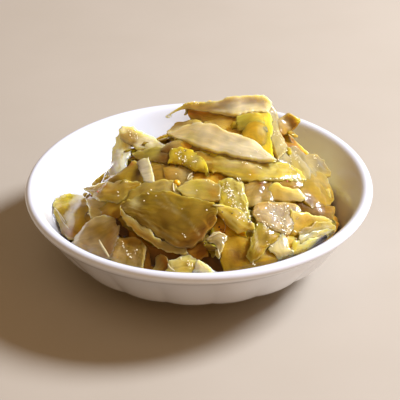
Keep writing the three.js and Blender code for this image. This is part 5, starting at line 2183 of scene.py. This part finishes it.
# The seed's stalk and wisps, then the fibres at the left, in front and on the boat-shaped leaf.
STRANDS = (
    Strand((-4.5, 7.3, -3.8, 8.8, -2.8, 9.4, -1.8, 9.4), 0.5, 0.3),
    Strand((-4.2, 7, -3.1, 8, -2.1, 8.4), 0.4, 0.3),
    Strand((-35.3, -14, -34.3, -16.1, -32.9, -18.2, -31.8, -19.9), 0.9, 0.3),
    Strand((-9.1, 3.1, -9.4, 4.5, -9.4, 5.9), 0.6),
    Strand((-40.6, 3.8, -39.2, 4.5, -37.4, 4.5), 0.4),
    Strand((-39.9, 3.1, -38.5, 3.5, -36.8, 3.1), 0.4),
    Strand((-50.8, -2.8, -49, -4.9, -46.9, -8), 0.5),
    Strand((-49.7, -4.5, -47.9, -7.7, -45.8, -10.1), 0.4),
    Strand((8.4, -11.2, 9.1, -9.1, 8, -6.6), 0.25),
    Strand((4.5, -1.8, 6.3, -2.1, 8.4, -2.1), 0.35),
    Strand((2.1, -13.6, 4.2, -12.6, 6.6, -11.5, 8.8, -12.2), 0.35),
    Strand((6.3, -17.1, 6.6, -18.9, 7.3, -20.3), 0.4, 0.3),
    Strand((-11.2, -22.4, -10.5, -23.8, -8.8, -24.8), 0.6),
)


@dataclass
class Garnish:
    """Seed, chili flakes, fibres and drops of brine, landed on the finished greens; the drops are pale as a
    painted highlight.

    Attributes:
        greens: The greens.
        toward_light: The direction that the drops turn their flat side to.
        drop_from: Depth in the picture that things start to fall from.
        ball_facets: Facets round and up the ball that beads are copies of.
        fibre_facets: Facets round a fibre.
        strand_points: Points along a fibre.
        strand_ends: Where in a half wave the fibre's thickness starts and ends.
        sprinkles: The beads.
        strands: The fibres.
    """

    greens: Greens
    toward_light: Spot3 = (0.48, -0.43, 0.77)
    drop_from: float = 60.0
    ball_facets: tuple[int, int] = (10, 7)
    fibre_facets: int = 6
    strand_points: int = 12
    strand_ends: Spot = (0.08, 0.92)
    sprinkles: tuple[Sprinkle, ...] = SPRINKLES
    strands: tuple[Strand, ...] = STRANDS

    def land(self, tree: BVHTree, spots: Array) -> tuple[Array, Array]:
        """Drops picture places onto the greens along the line of sight.

        Args:
            tree: The greens' faces.
            spots: Places in the front view.

        Returns:
            The points where they land and the surface's direction there.
        """
        sight = self.greens.front
        starts = sight.point(spots, np.full(len(spots), self.drop_from))
        hits = []
        for start in starts:
            way = Vector((start - sight.eye).tolist()).normalized()
            place, normal, _, _ = tree.ray_cast(Vector(start.tolist()), way)
            if place is not None:
                hits.append((*place, *(normal if normal.dot(way) < 0 else -normal)))
        landed = np.array(hits)
        return landed[:, :3], landed[:, 3:]

    def ball(self) -> Thing:
        """A ball 1 mm wide, for the tree to copy."""
        made = mesh_object("ball_shape", np.zeros((0, 3)), NO_FACES)
        shape = bmesh.new()
        u, v = self.ball_facets
        bmesh.ops.create_uvsphere(shape, u_segments=u, v_segments=v, radius=0.5 * MM)
        shape.to_mesh(made.data)
        shape.free()
        return made

    @staticmethod
    def bead_tree() -> Tree:
        """Geometry tree that copies a shape to points, turned and sized by their attributes."""
        kinds = {"Points": "Geometry", "Shape": "Object", "Flat": "Float", "Finish": "Material"}
        tree, given = new_tree("laid_beads", kinds)
        way, size = stored(tree, "way", "FLOAT_VECTOR"), stored(tree, "size", "FLOAT")
        links = {"X": size, "Y": size, "Z": product(tree, size, given["Flat"])}
        scale = add_node(tree, "ShaderNodeCombineXYZ", links=links).outputs["Vector"]
        turned = add_node(tree, "FunctionNodeAlignRotationToVector", {"axis": "Z"}, {"Vector": way})
        beads = copies(tree, given["Points"], given["Shape"], turned.outputs["Rotation"], scale)
        return end_tree(tree, beads, given["Finish"])

    def strand_tree(self) -> Tree:
        """Geometry tree that runs a round profile along edges, thinner at their ends."""
        kinds = {"Runs": "Geometry", "Radius": "Float", "Finish": "Material"}
        tree, given = new_tree("drawn_fibres", kinds)
        path = add_node(tree, "GeometryNodeMeshToCurve", links={"Mesh": given["Runs"]})
        links = {"Resolution": self.fibre_facets, "Radius": given["Radius"]}
        profile = add_node(tree, "GeometryNodeCurvePrimitiveCircle", links=links).outputs["Curve"]
        links = {"Curve": path.outputs["Curve"], "Profile Curve": profile, "Fill Caps": True}
        links["Scale"] = stored(tree, "thick", "FLOAT")
        drawn = add_node(tree, "GeometryNodeCurveToMesh", links=links).outputs["Mesh"]
        return end_tree(tree, drawn, given["Finish"])

    def build(self) -> None:
        """Lands and dresses everything."""
        points, quads, count = [], [], 0
        for corners, faces in self.greens.surfaces:
            points.append(corners)
            quads.append(faces + count)
            count += len(corners)
        surface = BVHTree.FromPolygons(np.vstack(points).tolist(), np.vstack(quads).tolist())
        tree, ball = self.bead_tree(), self.ball()
        for sprinkle in self.sprinkles:
            places, ways = self.land(surface, sprinkle.spots())
            rng = np.random.default_rng(sprinkle.seed)
            sizes = rng.uniform(*sprinkle.size, len(places))
            ways = unit(ways * (1 - sprinkle.up) + np.array(self.toward_light) * sprinkle.up)
            places = places + ways * (sprinkle.lift * sizes * sprinkle.flat)[:, None]
            beads = mesh_object(sprinkle.name, places, NO_FACES)
            carried = beads.data.attributes
            carried.new("way", "FLOAT_VECTOR", "POINT").data.foreach_set("vector", ways.ravel())
            carried.new("size", "FLOAT", "POINT").data.foreach_set("value", sizes)
            values = {"Shape": ball, "Flat": sprinkle.flat, "Finish": sprinkle.finish.material()}
            settle(run_tree(beads, tree, values), GREENS_NODE)
        bpy.data.objects.remove(ball)
        self.draw_strands(surface)

    def draw_strands(self, surface: BVHTree) -> None:
        """Lays the fibres along their runs."""
        rows, edges, thick = [], [], []
        for strand in self.strands:
            shares = np.linspace(0, 1, self.strand_points)
            places, _ = self.land(surface, evenly(cut_corners(spots_of(strand.run)), shares))
            start = len(thick)
            rows.append(places + self.greens.front.axes[2] * strand.lift)
            edges += [(start + k, start + k + 1) for k in range(len(places) - 1)]
            taper = np.sin(np.pi * np.linspace(*self.strand_ends, len(places))) ** 0.5
            thick += (strand.thick * taper).tolist()
        fibres = mesh_object("fibres", np.vstack(rows), NO_FACES, edges)
        carried = fibres.data.attributes.new("thick", "FLOAT", "POINT")
        carried.data.foreach_set("value", thick)
        finish = PlainFinish("pale_vein_fibre", "#b9a873", "#d8cca0", rough=0.35, coat=0.8)
        values = {"Radius": 0.5 * MM, "Finish": finish.material()}
        settle(run_tree(fibres, self.strand_tree(), values), GREENS_NODE)


# ---- light, floor and camera ----


@dataclass(frozen=True)
class Lamp:
    """A soft box aimed at the dish.

    Attributes:
        name: Its name.
        way: Direction from the dish to it.
        distance: Distance from the dish, m.
        size: Width and height, m.
        power: Power, W.
        hue: Colour.
        glossy: Whether it shows as a highlight in wet or glazed surfaces.
        aim: The point that it is aimed at, m.
    """

    name: str
    way: Spot3
    distance: float
    size: float
    power: float
    hue: str
    glossy: bool = True
    aim: Spot3 = (0.0, 0.0, 0.03)

    def build(self) -> None:
        """Adds the soft box."""
        light = bpy.data.lights.new(self.name, "AREA")
        light.shape = "DISK"
        light.size = self.size
        light.energy = self.power
        light.color = linear(self.hue)[:3]
        made = in_scene(bpy.data.objects.new(self.name, light))
        made.visible_glossy = self.glossy
        way = Vector(self.way).normalized()
        made.location = way * self.distance + Vector(self.aim)
        made.rotation_mode = "QUATERNION"
        made.rotation_quaternion = way.to_track_quat("Z", "Y")


@dataclass(frozen=True)
class Studio:
    """Plain pale floor, soft studio light and the camera of the front view.

    Attributes:
        sight: The front view.
        sensor: Width of the camera's sensor, mm.
        pixel: Size of one picture point at the target, mm.
        frame: Picture points across.
        clip: Nearest and farthest distance that the camera sees, m.
        floor_size: Side of the floor, m.
        air: Colour of the light from all round.
        air_strength: Its strength.
        lamps: The soft boxes.
    """

    sight: Sight
    sensor: float = 36.0
    pixel: float = 0.35
    frame: int = 400
    clip: Spot = (0.01, 20.0)
    floor_size: float = 6.0
    air: str = "#ffd09a"
    air_strength: float = 0.3
    lamps: tuple[Lamp, ...] = (
        Lamp("key_box", (0.8, 0.22, 0.72), 1.0, 0.32, 26.0, "#e6edff"),
        Lamp("top_fill", (-0.4, -0.3, 1.0), 1.3, 1.0, 2.0, "#fff0dc", glossy=False),
        Lamp("front_fill", (0.9, -1.0, 0.35), 1.2, 0.9, 3.0, "#ffc890", glossy=False),
    )

    def build(self) -> Thing:
        """Adds floor and lights, and gives back the camera."""
        half = self.floor_size / 2 / MM
        corners = np.array([(-half, -half, 0), (half, -half, 0), (half, half, 0), (-half, half, 0)])
        floor = mesh_object("floor", corners, np.array([[0, 1, 2, 3]]))
        painted = PlainFinish("pale_painted_board", "#a79c8a", "#ada291", grain=40.0, rough=0.6)
        floor.data.materials.append(painted.material())

        world = bpy.data.worlds.new("studio_air")
        world.use_nodes = True
        sky = world.node_tree.nodes["Background"]
        sky.inputs["Color"].default_value = linear(self.air)
        sky.inputs["Strength"].default_value = self.air_strength
        bpy.context.scene.world = world
        bpy.context.scene.view_settings.view_transform = "Standard"
        for lamp in self.lamps:
            lamp.build()

        lens = bpy.data.cameras.new("front_camera")
        lens.sensor_width = self.sensor
        lens.lens = self.sensor * self.sight.distance / (self.pixel * self.frame)
        lens.clip_start, lens.clip_end = self.clip
        camera = in_scene(bpy.data.objects.new("front_camera", lens))
        rows = np.eye(4)
        rows[:3, :3] = self.sight.axes.T
        rows[:3, 3] = self.sight.eye * MM
        camera.matrix_world = Matrix(rows.tolist())
        bpy.context.scene.camera = camera
        return camera


def main() -> None:
    """Builds the dish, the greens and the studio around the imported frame."""
    logging.basicConfig(level=logging.INFO, format="%(message)s")
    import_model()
    Dish().build(PorcelainFinish())
    greens = Greens()
    greens.build()
    Garnish(greens).build()
    Studio(greens.front).build()
    bpy.context.view_layer.update()


if __name__ == "__main__":
    main()
